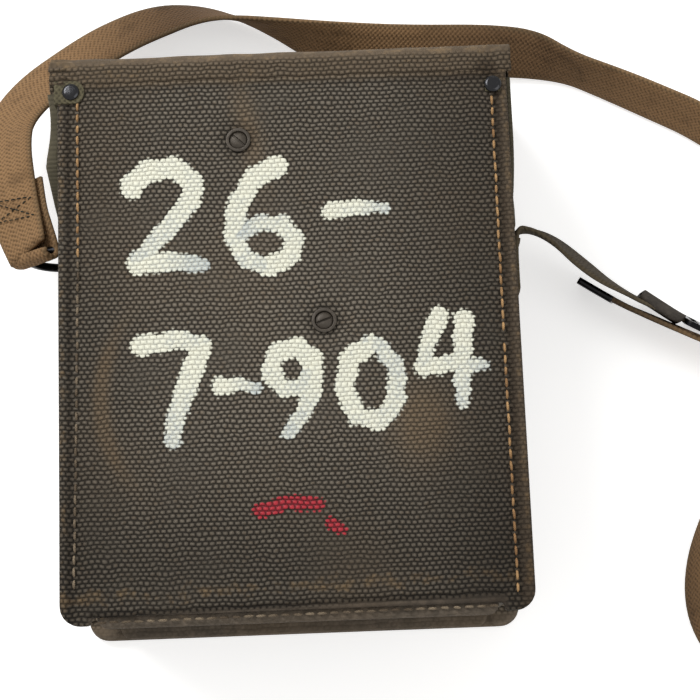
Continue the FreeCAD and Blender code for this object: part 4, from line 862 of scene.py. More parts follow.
@dataclass(frozen=True)
class BrushedMarks:
    """Plain numerals and dashes put on with a wide brush, and a short red dash."""

    cream: tuple[Stroke, ...] = (
        Stroke(((-64.0, 62.0), (-58.0, 69.0), (-46.0, 70.0), (-38.5, 63.0), (-39.5, 55.0), (-50.0, 43.0),
                (-62.0, 30.0)), 4.4, 0.45),
        Stroke(((-62.0, 29.0), (-49.0, 29.5), (-35.0, 27.5)), 4.2, 0.75),
        Stroke(((-3.0, 69.0), (-13.0, 64.0), (-20.0, 52.0), (-22.0, 39.0), (-17.0, 29.0),
                (-8.0, 25.5)), 4.3, 0.4),
        Stroke(((-8.0, 25.5), (1.0, 29.0), (3.5, 37.0), (-2.0, 44.0), (-12.0, 44.5),
                (-19.0, 39.0)), 3.9, 0.65),
        Stroke(((19.0, 48.5), (29.0, 50.0), (41.0, 49.0)), 3.3, 0.6),
        Stroke(((-61.0, -6.0), (-47.0, -4.0), (-36.0, -6.5)), 4.0, 0.35),
        Stroke(((-36.5, -7.0), (-41.0, -20.0), (-46.0, -33.0), (-49.0, -46.0)), 4.2, 0.55),
        Stroke(((-29.0, -24.5), (-21.0, -23.5), (-14.0, -25.5)), 3.0, 0.65),
        Stroke(((9.0, -17.0), (4.0, -9.0), (-5.0, -11.0), (-8.5, -20.0), (-3.0, -27.0), (6.0, -25.0),
                (9.5, -16.0)), 3.7, 0.4),
        Stroke(((9.5, -14.0), (9.0, -27.0), (4.0, -38.0), (-2.0, -45.0)), 3.8, 0.6),
        Stroke(((33.0, -9.0), (24.0, -15.0), (22.0, -28.0), (27.0, -39.0), (36.0, -41.0), (43.0, -33.0),
                (43.5, -19.0), (37.0, -9.5), (32.0, -8.5)), 3.9, 0.5),
        Stroke(((62.0, 2.0), (57.0, -9.0), (54.0, -19.0)), 3.5, 0.4),
        Stroke(((54.0, -19.5), (66.0, -18.0), (79.0, -19.5)), 3.4, 0.6),
        Stroke(((72.0, 0.0), (70.5, -16.0), (70.0, -34.0)), 3.7, 0.55),
    )
    red: tuple[Stroke, ...] = (
        Stroke(((-14.0, -76.0), (-2.0, -73.0), (10.0, -74.5)), 2.9, 0.5),
        Stroke(((14.5, -81.5), (19.0, -84.5)), 2.2, 0.7),
    )

    def read(self, place: Vector) -> tuple[float, float, float]:
        """What the brush left at a point.

        Args:
            place: The point, in metres.

        Returns:
            The depth inside the cream strokes in metres, how much paint lies there, and the depth
            inside the red strokes.
        """
        x, y = place.x * 1000.0, place.y * 1000.0
        fray = wander(x * 0.22, y * 0.22, 3.0) * 1.3
        deep, load, red = -10.0, 1.0, -10.0
        for stroke in self.cream:
            depth, along = stroke.near(x, y)
            if depth + fray > deep:
                deep, load = depth + fray, 1.0 - along ** 1.6 * stroke.dry
        for stroke in self.red:
            red = max(red, stroke.near(x, y)[0] + fray)
        return deep / 1000.0, load, red / 1000.0


# The back panel's half width, its face's height, and the middles of its rivets and screws, in metres.
HALF_WIDTH = 0.09525
PANEL_TOP = 0.0889
LEFT_RIVET = (-0.08925, 0.10475)
RIGHT_RIVET = (0.08925, 0.10135)
LEFT_SCREW = (-0.0190, 0.0812)
RIGHT_SCREW = (0.0145, 0.0020)
# Each station of a strap's route: its place in metres, and the strap's turn about its line in degrees.
LONG_STRAP = (
    (-0.1131, 0.0440, 0.0580, 42.0),
    (-0.1178, 0.0580, 0.0560, 28.0),
    (-0.1216, 0.0740, 0.0530, 22.0),
    (-0.1248, 0.0930, 0.0475, 20.0),
    (-0.1252, 0.1100, 0.0395, 22.0),
    (-0.1140, 0.1290, 0.0300, 24.0),
    (-0.0970, 0.1445, 0.0220, 26.0),
    (-0.0810, 0.1565, 0.0175, 26.0),
    (-0.0610, 0.1660, 0.0150, 31.0),
    (-0.0420, 0.1695, 0.0140, 50.0),
    (-0.0240, 0.1672, 0.0140, 68.0),
    (-0.0040, 0.1605, 0.0145, 90.0),
    (0.0120, 0.1545, 0.0140, 112.0),
    (0.0330, 0.1500, 0.0125, 135.0),
    (0.0620, 0.1478, 0.0110, 146.0),
    (0.0950, 0.1468, 0.0108, 146.0),
    (0.1150, 0.1440, 0.0120, 132.0),
    (0.1310, 0.1365, 0.0138, 103.0),
    (0.1480, 0.1285, 0.0138, 105.0),
    (0.1690, 0.1185, 0.0135, 109.0),
    (0.1940, 0.1055, 0.0135, 112.0),
    (0.2320, 0.0720, 0.0140, 98.0),
    (0.2620, 0.0240, 0.0140, 90.0),
    (0.2760, -0.0340, 0.0140, 90.0),
    (0.2680, -0.0960, 0.0140, 90.0),
    (0.2400, -0.1440, 0.0140, 84.0),
    (0.2000, -0.1520, 0.0138, 70.0),
    (0.1785, -0.1300, 0.0128, 60.0),
    (0.1750, -0.1030, 0.0128, 60.0),
    (0.1870, -0.0680, 0.0138, 74.0),
    (0.2060, -0.0340, 0.0140, 88.0),
    (0.2165, -0.0140, 0.0140, 90.0),
    (0.2110, -0.0045, 0.0144, 96.0),
    (0.1964, -0.0028, 0.0151, 108.0),
    (0.1621, 0.0140, 0.0160, 107.0),
    (0.1485, 0.0212, 0.0142, 105.0),
    (0.1350, 0.0300, 0.0136, 105.5),
)
LONG_TURN = (
    (-0.1186, 0.0760, 0.0498, 157.0),
    (-0.1160, 0.0630, 0.0528, 152.0),
    (-0.1124, 0.0540, 0.0534, 144.0),
    (-0.1083, 0.0440, 0.0532, 136.0),
    (-0.1083, 0.0406, 0.0532, 116.0),
    (-0.1131, 0.0406, 0.0580, 64.0),
    (-0.1131, 0.0440, 0.0580, 42.0),
)
STRAP_END = (
    (0.1450, 0.0234, 0.0140, 105.5),
    (0.1380, 0.0280, 0.0137, 105.5),
    (0.1305, 0.0332, 0.0135, 105.5),
)
# The corners of the line that is sewn across the fold, in metres.
FOLD_SEWING = (
    (-0.1301, 0.0689, 0.0515),
    (-0.1110, 0.0689, 0.0601),
    (-0.1278, 0.0595, 0.0526),
    (-0.1091, 0.0595, 0.0623),
    (-0.1301, 0.0689, 0.0515),
)
# The short strap's two routes have stations of the same kind.
SHORT_STRAP = (
    (0.0984, 0.0212, 0.0450, 90.0),
    (0.0984, 0.0350, 0.0450, 90.0),
    (0.0984, 0.0435, 0.0450, 88.0),
    (0.0990, 0.0484, 0.0450, 84.0),
    (0.1045, 0.0492, 0.0443, 76.0),
    (0.1115, 0.0476, 0.0415, 70.0),
    (0.1215, 0.0428, 0.0350, 61.0),
    (0.1345, 0.0345, 0.0265, 63.0),
    (0.1470, 0.0268, 0.0212, 72.0),
    (0.1590, 0.0202, 0.0183, 74.0),
    (0.1750, 0.01313, 0.01745, 72.0),
)
SHORT_TURN = (
    (0.0996, 0.0425, 0.0448, 90.0),
    (0.0969, 0.0340, 0.0450, 90.0),
    (0.0929, 0.0265, 0.0450, 90.0),
    (0.0919, 0.0212, 0.0450, 90.0),
    (0.0919, 0.0178, 0.0450, 90.0),
    (0.0984, 0.0178, 0.0450, 90.0),
    (0.0984, 0.0212, 0.0450, 90.0),
)


def fitted(piece: bpy.types.Object, finish: bpy.types.Material, body: Bodies, slot: str, *nodes: str) -> None:
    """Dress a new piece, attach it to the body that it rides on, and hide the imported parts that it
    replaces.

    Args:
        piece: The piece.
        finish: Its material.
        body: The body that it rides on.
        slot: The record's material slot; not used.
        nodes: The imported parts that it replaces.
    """
    dressed(piece, finish)
    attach(piece, body.value)
    if nodes:
        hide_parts(*nodes)
    LOG.info("%s: %d faces", piece.name, len(piece.data.polygons))


def laid(piece: bpy.types.Object, rule: Callable[[Vector, Vector], tuple[float, float]]) -> None:
    """Give a piece a UV map in metres.

    Args:
        piece: The mesh object.
        rule: Gives the way along and the way across for a point and its normal.
    """
    mesh = piece.data
    layer = mesh.uv_layers.new(name="Lay")
    for face in mesh.polygons:
        for index in face.loop_indices:
            corner = mesh.vertices[mesh.loops[index].vertex_index]
            layer.data[index].uv = rule(corner.co, face.normal)


@dataclass(frozen=True)
class Studio:
    """The pale floor, the soft lamps and the camera of the picture."""

    elevation: float = 78.0
    roll: float = -2.18
    distance: float = 0.7515
    lens: float = 94.11
    target: Place = (0.0247, -0.0110, 0.0889)
    sky: float = 0.52
    floor_size: float = 14.0
    lamps: tuple[tuple[Place, float, float], ...] = (
        ((-0.75, 0.85, 1.15), 0.9, 15.0),
        ((0.95, -0.35, 1.25), 1.2, 4.0),
    )

    def build(self) -> None:
        """Build the whole studio."""
        self.camera()
        self.light()
        self.floor()

    def camera(self) -> None:
        """Put the camera where the picture was taken from."""
        rise, turn = math.radians(self.elevation), math.radians(self.roll)
        right = Vector((1.0, 0.0, 0.0))
        up = Vector((0.0, math.sin(rise), math.cos(rise)))
        back = Vector((0.0, -math.cos(rise), math.sin(rise)))
        across = right * math.cos(turn) + up * math.sin(turn)
        upright = up * math.cos(turn) - right * math.sin(turn)
        place = Vector(self.target) + back * self.distance
        data = bpy.data.cameras.new("Camera")
        data.lens = self.lens
        data.sensor_width = 36.0
        camera = linked("Camera", data)
        turned = Matrix((across, upright, back)).transposed().to_4x4()
        camera.matrix_world = Matrix.Translation(place) @ turned
        bpy.context.scene.camera = camera

    def light(self) -> None:
        """Hang the lamps and set the sky."""
        for number, (place, size, power) in enumerate(self.lamps):
            data = bpy.data.lights.new("Lamp_%d" % number, "AREA")
            data.shape = "DISK"
            data.size = size
            data.energy = power
            lamp = linked("Lamp_%d" % number, data)
            lamp.location = place
            back = Vector(place) - Vector((0.0, 0.0, 0.05))
            lamp.rotation_euler = back.to_track_quat("Z", "Y").to_euler()
        world = bpy.data.worlds.new("Sky")
        world.use_nodes = True
        world.node_tree.nodes["Background"].inputs["Color"].default_value = (1.0, 0.995, 0.985, 1.0)
        tree = world.node_tree
        seen = tree.nodes.new("ShaderNodeLightPath")
        strength = tree.nodes.new("ShaderNodeMath")
        strength.operation = "MULTIPLY_ADD"
        strength.inputs[1].default_value = 1.0 - self.sky
        strength.inputs[2].default_value = self.sky
        tree.links.new(seen.outputs["Is Camera Ray"], strength.inputs[0])
        tree.links.new(strength.outputs[0], tree.nodes["Background"].inputs["Strength"])
        bpy.context.scene.world = world

    def floor(self) -> None:
        """Lay the white floor, which keeps the shadows."""
        bpy.ops.object.select_all(action="DESELECT")
        bpy.ops.mesh.primitive_plane_add(size=self.floor_size, location=(0.0, 0.0, 0.0))
        floor = bpy.context.active_object
        floor.name = "Floor"
        pale = Finish("Floor")
        seen = pale.node("ShaderNodeLightPath")
        glossy = Signal(pale, seen.socket.node.outputs["Is Glossy Ray"])
        through = Signal(pale, seen.socket.node.outputs["Is Transmission Ray"])
        ray = (seen + glossy + through).held()
        matte = pale.node("ShaderNodeBsdfDiffuse", {"Color": (0.94, 0.94, 0.935, 1.0)})
        glow = pale.node("ShaderNodeEmission", {"Color": (1.0, 0.995, 0.99, 1.0), "Strength": ray * self.sky})
        dressed(floor, pale.closed(pale.node("ShaderNodeAddShader", {0: matte, 1: glow})))


@dataclass(frozen=True)
class CanvasCase:
    """The canvas shell: back panel, wall strip and front panel, with their seams."""

    groove: float = 0.0046
    crease: float = 0.1053
    bow: tuple[float, float, float] = (-20.0, -28.0, 58.0)
    patch: tuple[float, float] = (53.0, -43.0)
    streak: tuple[float, float] = (-17.7, 101.0)
    recess: tuple[float, float] = (0.0878, 0.1058)

    def level(self, place: Vector) -> float:
        """How far the back panel's face stands above its plain height."""
        edge = HALF_WIDTH - abs(place.x)
        wide = wander(place.x * 14.0, place.y * 14.0, 2.0) * 0.0006
        near = wander(place.x * 60.0, place.y * 60.0, 5.0) * 0.00022
        crown = 0.0007 * (1.0 - (place.x / HALF_WIDTH) ** 2)
        rim = 0.00055 * swell(edge, 0.0020, 0.0014) - 0.00055 * swell(edge, self.groove, 0.0013)
        channel = -0.00055 * swell(edge, 0.0070 if place.x > 0.0 else 0.0078, 0.0018)
        crease = -0.0004 * swell(place.y, self.crease, 0.0014)
        slit = -0.0014 * swell(place.y, self.slit(place.x), 0.0009) * self.middle(place.x)
        hollow = 0.0
        for x, y in (LEFT_SCREW, RIGHT_SCREW):
            away = math.hypot(place.x - x, place.y - y)
            hollow -= 0.0013 * swell(away, 0.0045, 0.0055)
        return wide + near + crown + rim + channel + crease + slit + hollow

    @staticmethod
    def slit(x: float) -> float:
        """Where the gap between the panel and the lower lip runs."""
        return -0.1154 + 0.0192 * (x + 0.0825)

    @staticmethod
    def middle(x: float) -> float:
        """One between the two side tabs, nought on them."""
        return held((0.0840 - abs(x)) / 0.0012)

    def build(self, nodes: dict[str, bpy.types.Object]) -> None:
        """Build and fit the shell.

        Args:
            nodes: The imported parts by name.
        """
        back = softened(nodes["back_panel"], "back_canvas", 0.0012)
        moved(back, lambda place: Vector((0.0, 0.0, self.level(place) * self.share(place))))
        self.mark(back)
        fitted(back, Canvas("Back_canvas", painted=True).material(), Bodies.CASE, "canvas", "back_panel")
        plain = Canvas("Canvas").material()
        plain_cloths = (("wall_strip", "wall_canvas", 0.0015), ("front_panel", "front_canvas", 0.0016))
        for node, name, voxel in plain_cloths:
            piece = softened(nodes[node], name, voxel)
            self.age(piece)
            fitted(piece, plain, Bodies.CASE, "canvas", node)
        self.stitches()

    @staticmethod
    def share(place: Vector) -> float:
        """One at the back panel's face, nought at its inner side."""
        return held((place.z - 0.0866) / 0.0018)

    @staticmethod
    def age(piece: bpy.types.Object) -> None:
        """Store plain stain, wear and shade on a piece."""
        stored(piece, stain=lambda place: max(0.0, noise.noise(place * 22.0) * 0.9),
               wear=lambda place: 0.15 + max(0.0, noise.noise(place * 9.0) * 0.6),
               shade=lambda place: 0.15,
               smooth=lambda place: held((-0.1130 - place.y) / 0.003) * 0.9)

    def mark(self, piece: bpy.types.Object) -> None:
        """Store the back panel's stains, wear, shade and paint."""
        marks = BrushedMarks()
        faces = [marks.read(vertex.co) if vertex.co.z > PANEL_TOP - 0.0012 else (-0.01, 1.0, -0.01)
                 for vertex in piece.data.vertices]
        for number, name in enumerate(("mark", "load", "red")):
            values = piece.data.attributes.new(name, "FLOAT", "POINT")
            values.data.foreach_set("value", [face[number] for face in faces])
        stored(piece, stain=self.stain, wear=self.wear, shade=self.shade, smooth=self.smooth)

    def stain(self, place: Vector) -> float:
        """The brown stains' strength at a point."""
        x, y = place.x * 1000.0, place.y * 1000.0
        arc = abs(math.hypot(x - self.bow[0], y - self.bow[1]) - self.bow[2])
        bow = swell(arc, 0.0, 3.2) * swell(x, -75.0, 14.0) * swell(y, -30.0, 30.0)
        patch = swell(math.hypot((x - self.patch[0]) * 1.1, (y - self.patch[1]) * 0.8), 0.0, 12.0)
        streak = swell(x + 0.19 * (y - self.streak[1]), self.streak[0], 5.0) * swell(y, 84.0, 22.0)
        margin = swell(HALF_WIDTH * 1000 - x, 2.0, 4.5) * 0.55
        roll = held((y - 105.0) / 3.0) * 0.75
        mottle = max(0.0, wander(x * 0.02, y * 0.02, 7.0)) * 0.4
        return min(1.0, bow * 1.5 + patch * 1.3 + streak * 0.8 + margin + roll + mottle)

    def wear(self, place: Vector) -> float:
        """How rubbed the back panel is at a point."""
        x, y = place.x * 1000.0, place.y * 1000.0
        low = swell(y, -107.0 + 0.02 * x, 4.0) * 0.62
        high = swell(y, 111.0, 4.0) * 0.35
        side = swell(HALF_WIDTH * 1000 - abs(x), 1.6, 1.8) * 0.6
        return min(1.0, low + high + side)

    def smooth(self, place: Vector) -> float:
        """How far the weave is worn flat at a point."""
        lip = held((self.slit(place.x) - 0.0006 - place.y) / 0.0008) * self.middle(place.x)
        margin = held((place.x - 0.0895) / 0.0015) * 0.45
        return max(lip, margin)

    def shade(self, place: Vector) -> float:
        """How dark the seams, the dimples and the far parts of the panel are at a point."""
        edge = HALF_WIDTH - abs(place.x)
        seam = swell(edge, self.groove, 0.0010) * 0.8
        left = held((-0.050 - place.x) / 0.035) * 0.28
        right = held((place.x - 0.040) / 0.040) * 0.46
        far = 0.26 * (1.0 - math.exp(-((place.x + 0.005) / 0.055) ** 2 - (place.y / 0.075) ** 2))
        low = held((-0.035 - place.y) / 0.060) * 0.42
        slit = swell(place.y, self.slit(place.x), 0.0007) * self.middle(place.x) * 0.95
        crease = swell(place.y, self.crease, 0.0012) * 0.30
        away = math.hypot(place.x - self.recess[0], place.y - self.recess[1])
        recess = swell(away, 0.0, 0.0022) * 0.85
        dimple = 0.0
        for x, y in (LEFT_SCREW, RIGHT_SCREW):
            dimple = max(dimple, 1.0 - max(0.0, (math.hypot(place.x - x, place.y - y) - 0.0050) / 0.0045))
        region = max(left + low * 0.6, right + low * 0.6, low) + far
        return min(1.0, seam + max(0.0, dimple) * 0.45 + region + slit + crease + recess)

    def stitches(self) -> None:
        """Sew the seams."""
        tan = Yarn("Tan_thread", (0.70, 0.43, 0.195), (0.34, 0.185, 0.082)).material()
        pale = Yarn("Pale_thread", (0.32, 0.25, 0.17), (0.11, 0.080, 0.052)).material()
        z = PANEL_TOP + 0.00055
        low = z - 0.0016
        lines = (
            ("left_seam", ((-0.0866, 0.1008, z), (-0.0868, 0.0320, z)), tan, 1.0),
            ("left_low_seam", ((-0.0868, 0.0320, z), (-0.0893, -0.1085, z)), pale, 4.0),
            ("right_seam", ((0.0885, 0.0970, z), (0.0881, -0.0100, z), (0.0881, -0.1145, z)), tan, 2.0),
            ("lower_seam", ((-0.0810, -0.1183, low), (0.0830, -0.1172, low)), pale, 3.0),
        )
        for name, line, finish, seed in lines:
            seam = Thread().run(name, line, (0.0, 0.0, 1.0), seed)
            if name == "left_low_seam":
                moved(seam, self.sunk)
            fitted(seam, finish, Bodies.CASE, "canvas")

    @staticmethod
    def sunk(place: Vector) -> Vector:
        """How far the old stitches at the left have gone down into the cloth."""
        worn = 0.5 + 0.5 * wander(0.0, place.y * 90.0, 6.0)
        faded = held((0.030 - place.y) / 0.030) * held((place.y + 0.090) / 0.030)
        return Vector((0.0, 0.0, -0.00095 * faded * (0.55 + worn)))


@dataclass(frozen=True)
class FlapLid:
    """The lid's flap with its worn roll, its canvas hinge and the webbing that binds its sides."""

    axis: tuple[float, float] = (0.1146, 0.0829)
    radius: float = 0.0067
    begin: float = 0.1076
    thick: float = 0.0006
    left: float = -0.0983
    right: float = 0.0974
    columns: int = 220
    turns: int = 24
    flats: int = 12
    wrap: float = 125.0

    def build(self, nodes: dict[str, bpy.types.Object]) -> None:
        """Build and fit the flap.

        Args:
            nodes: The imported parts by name.
        """
        flap = softened(nodes["lid_panel"], "lid_canvas", 0.0015)
        moved(flap, self.drawn)
        self.age(flap)
        cloth = Canvas("Lid_canvas").material()
        fitted(flap, cloth, Bodies.LID, "canvas", "lid_panel")
        binding = softened(nodes["lid_binding"], "lid_webbing", 0.0012, 1)
        moved(binding, self.drawn)
        laid(binding, lambda place, facing: (place.y + place.z, 0.0))
        olive = Webbing("Olive_webbing", (0.120, 0.105, 0.070), (0.030, 0.026, 0.018)).material()
        fitted(binding, olive, Bodies.LID, "olive_webbing", "lid_binding")
        hinge = self.hinge()
        self.age(hinge)
        dressed(hinge, cloth)
        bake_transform(hinge)

    def age(self, piece: bpy.types.Object) -> None:
        """Store the flap's stain, wear, shade and smoothness on a piece."""
        stored(piece, stain=lambda place: 0.75 * swell(place.z, 0.0890, 0.012), wear=self.wear,
               shade=self.shade, smooth=self.smooth)

    @staticmethod
    def drawn(place: Vector) -> Vector:
        """How far the flap's sides are drawn in near the back panel."""
        high = held((place.z - 0.030) / 0.035)
        share = 0.31 if place.x > 0.0 else 0.50 + 0.90 * swell(place.y, 0.093, 0.024)
        beyond = max(0.0, abs(place.x) - 0.0956)
        return Vector((-math.copysign(beyond * (1.0 - share) * high, place.x), 0.0, 0.0))

    @staticmethod
    def wear(place: Vector) -> float:
        """How rubbed the flap is at a point."""
        return 0.30 * swell(place.z, 0.0875, 0.010) + 0.25 * swell(place.y, 0.1200, 0.004)

    @staticmethod
    def smooth(place: Vector) -> float:
        """How far the flap's weave is worn flat at a point."""
        return held((place.y - 0.1150) / 0.0025) * held((place.z - 0.070) / 0.008)

    @staticmethod
    def shade(place: Vector) -> float:
        """How dark the flap is at a point."""
        deep = held((0.0850 - place.z) / 0.010)
        side = held((place.x - 0.050) / 0.040) * 0.30
        left = held((-0.050 - place.x) / 0.040) * 0.20
        recess = swell(math.hypot(place.x - 0.0865, place.y - 0.1085), 0.0, 0.0036) * 0.80
        return min(0.9, 0.45 + deep * 0.20 + side * 0.5 + left * 0.5 + recess)

    def hinge(self) -> bpy.types.Object:
        """The canvas that runs from the back panel over the roll to the flap."""
        columns, turns, flats = self.columns, self.turns, self.flats
        line = [(self.begin + (self.axis[0] - self.begin) * step / flats, 0.0) for step in range(flats)]
        line += [(self.axis[0], math.radians(self.wrap) * step / turns) for step in range(turns + 1)]
        points: list[Vector] = []
        for column in range(columns + 1):
            share = column / columns
            for layer, stations in ((0, line), (1, line[::-1])):
                for y, turn in stations:
                    points.append(self.spot(share, y, turn, layer))
        piece = meshed("hinge_canvas", points, tube(columns + 1, 2 * len(line)))
        edited(piece, lambda: bpy.ops.mesh.normals_make_consistent(inside=False))
        return piece

    def spot(self, share: float, y: float, turn: float, layer: int) -> Vector:
        """A point of the hinge's canvas.

        Args:
            share: How far across the case it is, from 0 to 1.
            y: Its place on the flat part, or the roll's axis.
            turn: How far round the roll it is.
            layer: 0 for the outside, 1 for the inside.

        Returns:
            The point.
        """
        ragged = wander(y * 900.0, turn * 9.0, share * 3.0) * 0.0006
        x = self.left + (self.right - self.left) * share + ragged * (1.0 - 2.0 * share)
        flow = (y - self.begin) + turn * self.radius
        hump = wander(x * 70.0, flow * 160.0, 1.0) * 0.00035
        frayed = held((-0.0885 - x) / 0.0040) * math.sin(flow * math.tau / 0.0034) * 0.0006
        buried = -0.0008 * max(0.0, 1.0 - flow / 0.0014)
        flat = max(0.0, 1.0 - turn / 0.9) * CanvasCase().level(Vector((x, min(y, 0.1120), 0.0)))
        reach = self.radius + hump + frayed - self.thick * layer
        return Vector((x, y + math.sin(turn) * reach, self.axis[1] + math.cos(turn) * reach + buried + flat))


@dataclass(frozen=True)
class Fittings:
    """The corner tabs and their rivets, the screws in their washers, and the ring chapes."""

    tab_reach: float = 0.0056
    shrunk: float = 0.45
    spread: float = 0.13
    left_slot: float = -0.75
    right_slot: float = 0.35

    def build(self, nodes: dict[str, bpy.types.Object]) -> None:
        """Build and fit the fittings.

        Args:
            nodes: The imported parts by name.
        """
        olive = Webbing("Tab_webbing", (0.135, 0.118, 0.070), (0.034, 0.029, 0.018)).material()
        tabs = softened(nodes["corner_tabs"], "corner_webbing", 0.0006, 1)
        moved(tabs, self.trimmed)
        laid(tabs, lambda place, facing: (place.x + place.z, place.y - 0.104))
        fitted(tabs, olive, Bodies.CASE, "olive_webbing", "corner_tabs")
        black = Metal("Rubbed_rivet", (0.060, 0.060, 0.064), (0.22, 0.21, 0.20), 0.20).material()
        domes = rounded(nodes["corner_rivets"], "rivet_domes", 0.0002)
        moved(domes, self.broadened)
        lonely(domes)
        bpy.ops.object.shade_smooth()
        fitted(domes, black, Bodies.CASE, "blackened_steel", "corner_rivets")
        dirty = Metal("Dirty_screw", (0.070, 0.057, 0.043), (0.135, 0.112, 0.084), 0.52, 0.35).material()
        for node, name in (("back_screws", "slotted_screws"), ("cup_washers", "washer_cups")):
            piece = rounded(nodes[node], name, 0.00015)
            moved(piece, self.turned)
            fitted(piece, dirty, Bodies.CASE, "blackened_steel", node)
        chapes = rounded(nodes["ring_chapes"], "ring_webbing", 0.0004)
        laid(chapes, lambda place, facing: (place.x + place.z, place.y - 0.044))
        fitted(chapes, olive, Bodies.CASE, "olive_webbing", "ring_chapes")

    def trimmed(self, place: Vector) -> Vector:
        """How the left tab is cut round its rivet, and how far the right one has shrunk under its own."""
        if place.x > 0.0:
            x, y = RIGHT_RIVET
            return Vector(((x - place.x) * self.shrunk, (y - place.y) * self.shrunk, -0.0010))
        across, up = place.x - LEFT_RIVET[0], place.y - LEFT_RIVET[1]
        away = math.hypot(across, up)
        if across < -0.0010 or away < self.tab_reach:
            return Vector((0.0, 0.0, 0.0))
        return Vector((across, up, 0.0)) * (self.tab_reach / away - 1.0)

    def broadened(self, place: Vector) -> Vector:
        """How far a rivet's head has been hammered broader."""
        middle = LEFT_RIVET if place.x < 0.0 else RIGHT_RIVET
        head = held((place.z - 0.0890) / 0.0004)
        share = self.spread * head
        return Vector(((place.x - middle[0]) * share, (place.y - middle[1]) * share, 0.0))

    def turned(self, place: Vector) -> Vector:
        """How a screw's points move when its slot is turned."""
        middle, angle = (LEFT_SCREW, self.left_slot) if place.x < 0.0 else (RIGHT_SCREW, self.right_slot)
        x, y = place.x - middle[0], place.y - middle[1]
        return Vector((x * math.cos(angle) - y * math.sin(angle) - x,
                       x * math.sin(angle) + y * math.cos(angle) - y, 0.0))


@dataclass(frozen=True)
class CarryStraps:
    """The shoulder strap, the short buckle strap and the leather keeper."""

    thick: float = 0.0024
    thin: float = 0.0020
    keeper: tuple[float, float] = (0.1665, 0.01775)
    keeper_slip: float = 0.0012
    keeper_reach: float = 0.0128
    keeper_turn: float = -34.8

    def build(self, nodes: dict[str, bpy.types.Object]) -> None:
        """Build and fit the straps.

        Args:
            nodes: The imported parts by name.
        """
        tan = Webbing("Tan_webbing", (0.315, 0.185, 0.088), (0.080, 0.044, 0.020)).material()
        dark = Webbing("Dark_webbing", (0.098, 0.076, 0.050), (0.026, 0.020, 0.014), soil=0.7).material()
        turn = Ribbon("shoulder_turn", LONG_TURN, thick=self.thick).build()
        fitted(turn, tan, Bodies.CASE, "tan_webbing", "shoulder_strap")
        band = Ribbon("shoulder_webbing", LONG_STRAP, thick=self.thick)
        strap = band.build()
        stored(strap, shade=self.dark_tail_and_painted_shade)
        fitted(strap, tan, Bodies.CASE, "tan_webbing", "shoulder_strap")
        self.length(band)
        fine = Thread(radius=0.00030, stitch=0.0024, gap=0.0007, lift=0.0004)
        sewing = fine.run("fold_stitches", FOLD_SEWING, (-0.43, 0.0, 0.90), 7.0)
        yarn = Yarn("Dark_thread", (0.050, 0.058, 0.042), (0.022, 0.022, 0.017)).material()
        fitted(sewing, yarn, Bodies.CASE, "tan_webbing")
        tip = Ribbon("tip_plate", STRAP_END, width=0.0256, thick=0.0034, wave=0.0).build()
        steel = Metal("Tip_steel", (0.030, 0.029, 0.030), (0.12, 0.11, 0.10), 0.25).material()
        fitted(tip, steel, Bodies.CASE, "blackened_steel", "strap_tip")
        for name, route in (("short_turn", SHORT_TURN), ("short_webbing", SHORT_STRAP)):
            piece = Ribbon(name, route, thick=self.thin).build()
            fitted(piece, dark, Bodies.CASE, "dark_webbing", "short_strap")
        keeper = softened(nodes["strap_keeper"], "keeper_leather", 0.0006)
        moved(keeper, self.drawn_out)
        stored(keeper, wear=lambda place: 0.3)
        leather = Leather("Harness_leather", (0.050, 0.041, 0.032), (0.018, 0.015, 0.012)).material()
        fitted(keeper, leather, Bodies.CASE, "leather", "strap_keeper")

    @staticmethod
    def dark_tail_and_painted_shade(place: Vector) -> float:
        """How dark the long strap is: its tail by the buckle is almost black, and painted shade darkens it at
        the top, left of the middle, and at the right.
        """
        tail = held((0.045 - place.y) / 0.004) * held((0.182 - place.x) / 0.020)
        # Painted shade on the strap's run at the right and at the top, left of the middle.
        right = swell(place.x, 0.105, 0.040) * (0.55 if place.y > 0.100 else 0.0)
        behind = swell(place.x, -0.048, 0.036) * (0.72 if place.y > 0.120 else 0.0)
        return tail * (0.85 if place.x > 0.120 else 0.0) + right + behind

    def drawn_out(self, place: Vector) -> Vector:
        """How the keeper's loop is drawn out into a slender, slanting capsule."""
        x, y = place.x - self.keeper[0], place.y - self.keeper[1]
        along, across = x * 0.90 - y * 0.436, x * 0.436 + y * 0.90
        along = along * 1.80 - self.keeper_slip
        round_end = math.sqrt(max(0.10, 1.0 - (abs(along + self.keeper_slip) / self.keeper_reach) ** 4))
        across *= 0.80 * round_end
        turn = math.radians(self.keeper_turn)
        return Vector((along * math.cos(turn) - across * math.sin(turn) - x,
                       along * math.sin(turn) + across * math.cos(turn) - y, 0.0))

    @staticmethod
    def length(band: Ribbon) -> float:
        """The length of a band's line, to the nearest millimetre."""
        return round(sum((two - one).length for one, two in zip(band.path, band.path[1:])), 3)


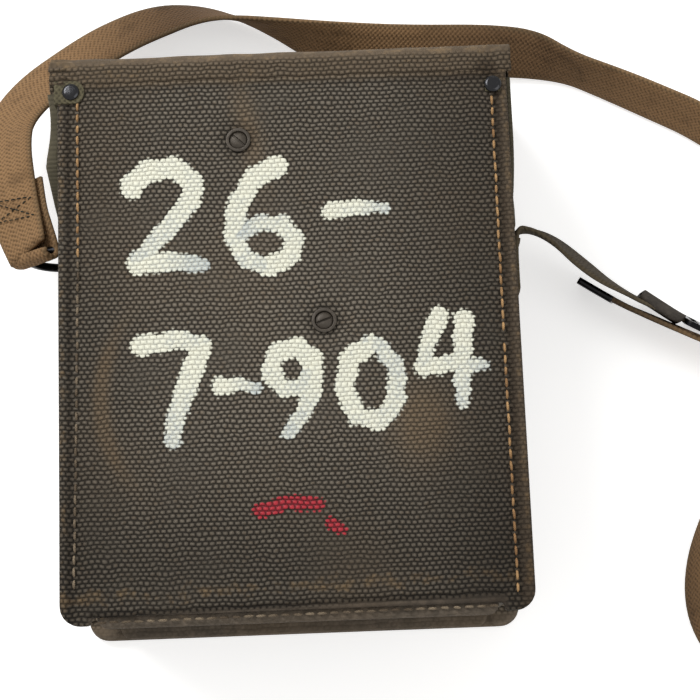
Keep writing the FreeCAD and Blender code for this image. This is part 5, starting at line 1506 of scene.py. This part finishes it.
@dataclass(frozen=True)
class Telephone:
    """The telephone's own parts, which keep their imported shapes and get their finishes."""

    def finishes(self) -> dict[str, bpy.types.Material]:
        """The finish of each material slot."""
        return {
            finish.name.lower(): finish.material() for finish in (
                Metal("Blackened_steel", (0.035, 0.034, 0.036), (0.16, 0.15, 0.14), 0.30),
                Metal("Black_wire", (0.020, 0.020, 0.022), (0.10, 0.09, 0.08), 0.32),
                Metal("Grey_enamel", (0.115, 0.125, 0.120), (0.20, 0.20, 0.19), 0.45, 0.0),
                Moulding("Black_laminate", (0.020, 0.018, 0.016), (0.040, 0.032, 0.026)),
                Metal("Brass", (0.55, 0.36, 0.13), (0.72, 0.52, 0.24), 0.30),
                Metal("Plain_steel", (0.38, 0.37, 0.35), (0.55, 0.54, 0.52), 0.32),
                Metal("Cast_iron", (0.080, 0.076, 0.072), (0.16, 0.15, 0.14), 0.55),
                Metal("Magnet_steel", (0.16, 0.030, 0.022), (0.24, 0.08, 0.05), 0.45, 0.0),
                Winding("Enamelled_wire", (0.38, 0.12, 0.045), (0.06, 0.02, 0.01)),
                Metal("Nickel", (0.60, 0.56, 0.48), (0.72, 0.69, 0.63), 0.20),
                Moulding("Card", (0.38, 0.27, 0.16), (0.28, 0.19, 0.11), 0.75),
                Moulding("Moulding", (0.022, 0.019, 0.017), (0.034, 0.028, 0.024)),
                Metal("Tin_can", (0.44, 0.44, 0.42), (0.60, 0.60, 0.58), 0.36),
            )
        }

    def dress(self, nodes: dict[str, bpy.types.Object], slots: dict[str, str]) -> None:
        """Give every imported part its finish.

        Args:
            nodes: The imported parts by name.
            slots: Each part's material slot.
        """
        finishes = self.finishes()
        for name, node in nodes.items():
            finish = finishes.get(slots.get(name, ""))
            if finish:
                for slot in node.material_slots:
                    slot.material = finish


def main() -> None:
    """Build the scene."""
    logging.basicConfig(level=logging.INFO, format="%(name)s: %(message)s")
    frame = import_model()
    nodes = frame["nodes"]
    bpy.context.scene.view_settings.view_transform = "Standard"
    Studio().build()
    CarryStraps().build(nodes)
    CanvasCase().build(nodes)
    FlapLid().build(nodes)
    Fittings().build(nodes)
    slots = {part["node"]: part["material_slot"] for part in frame["record"]["subparts"]}
    Telephone().dress(nodes, slots)


if __name__ == "__main__":
    main()
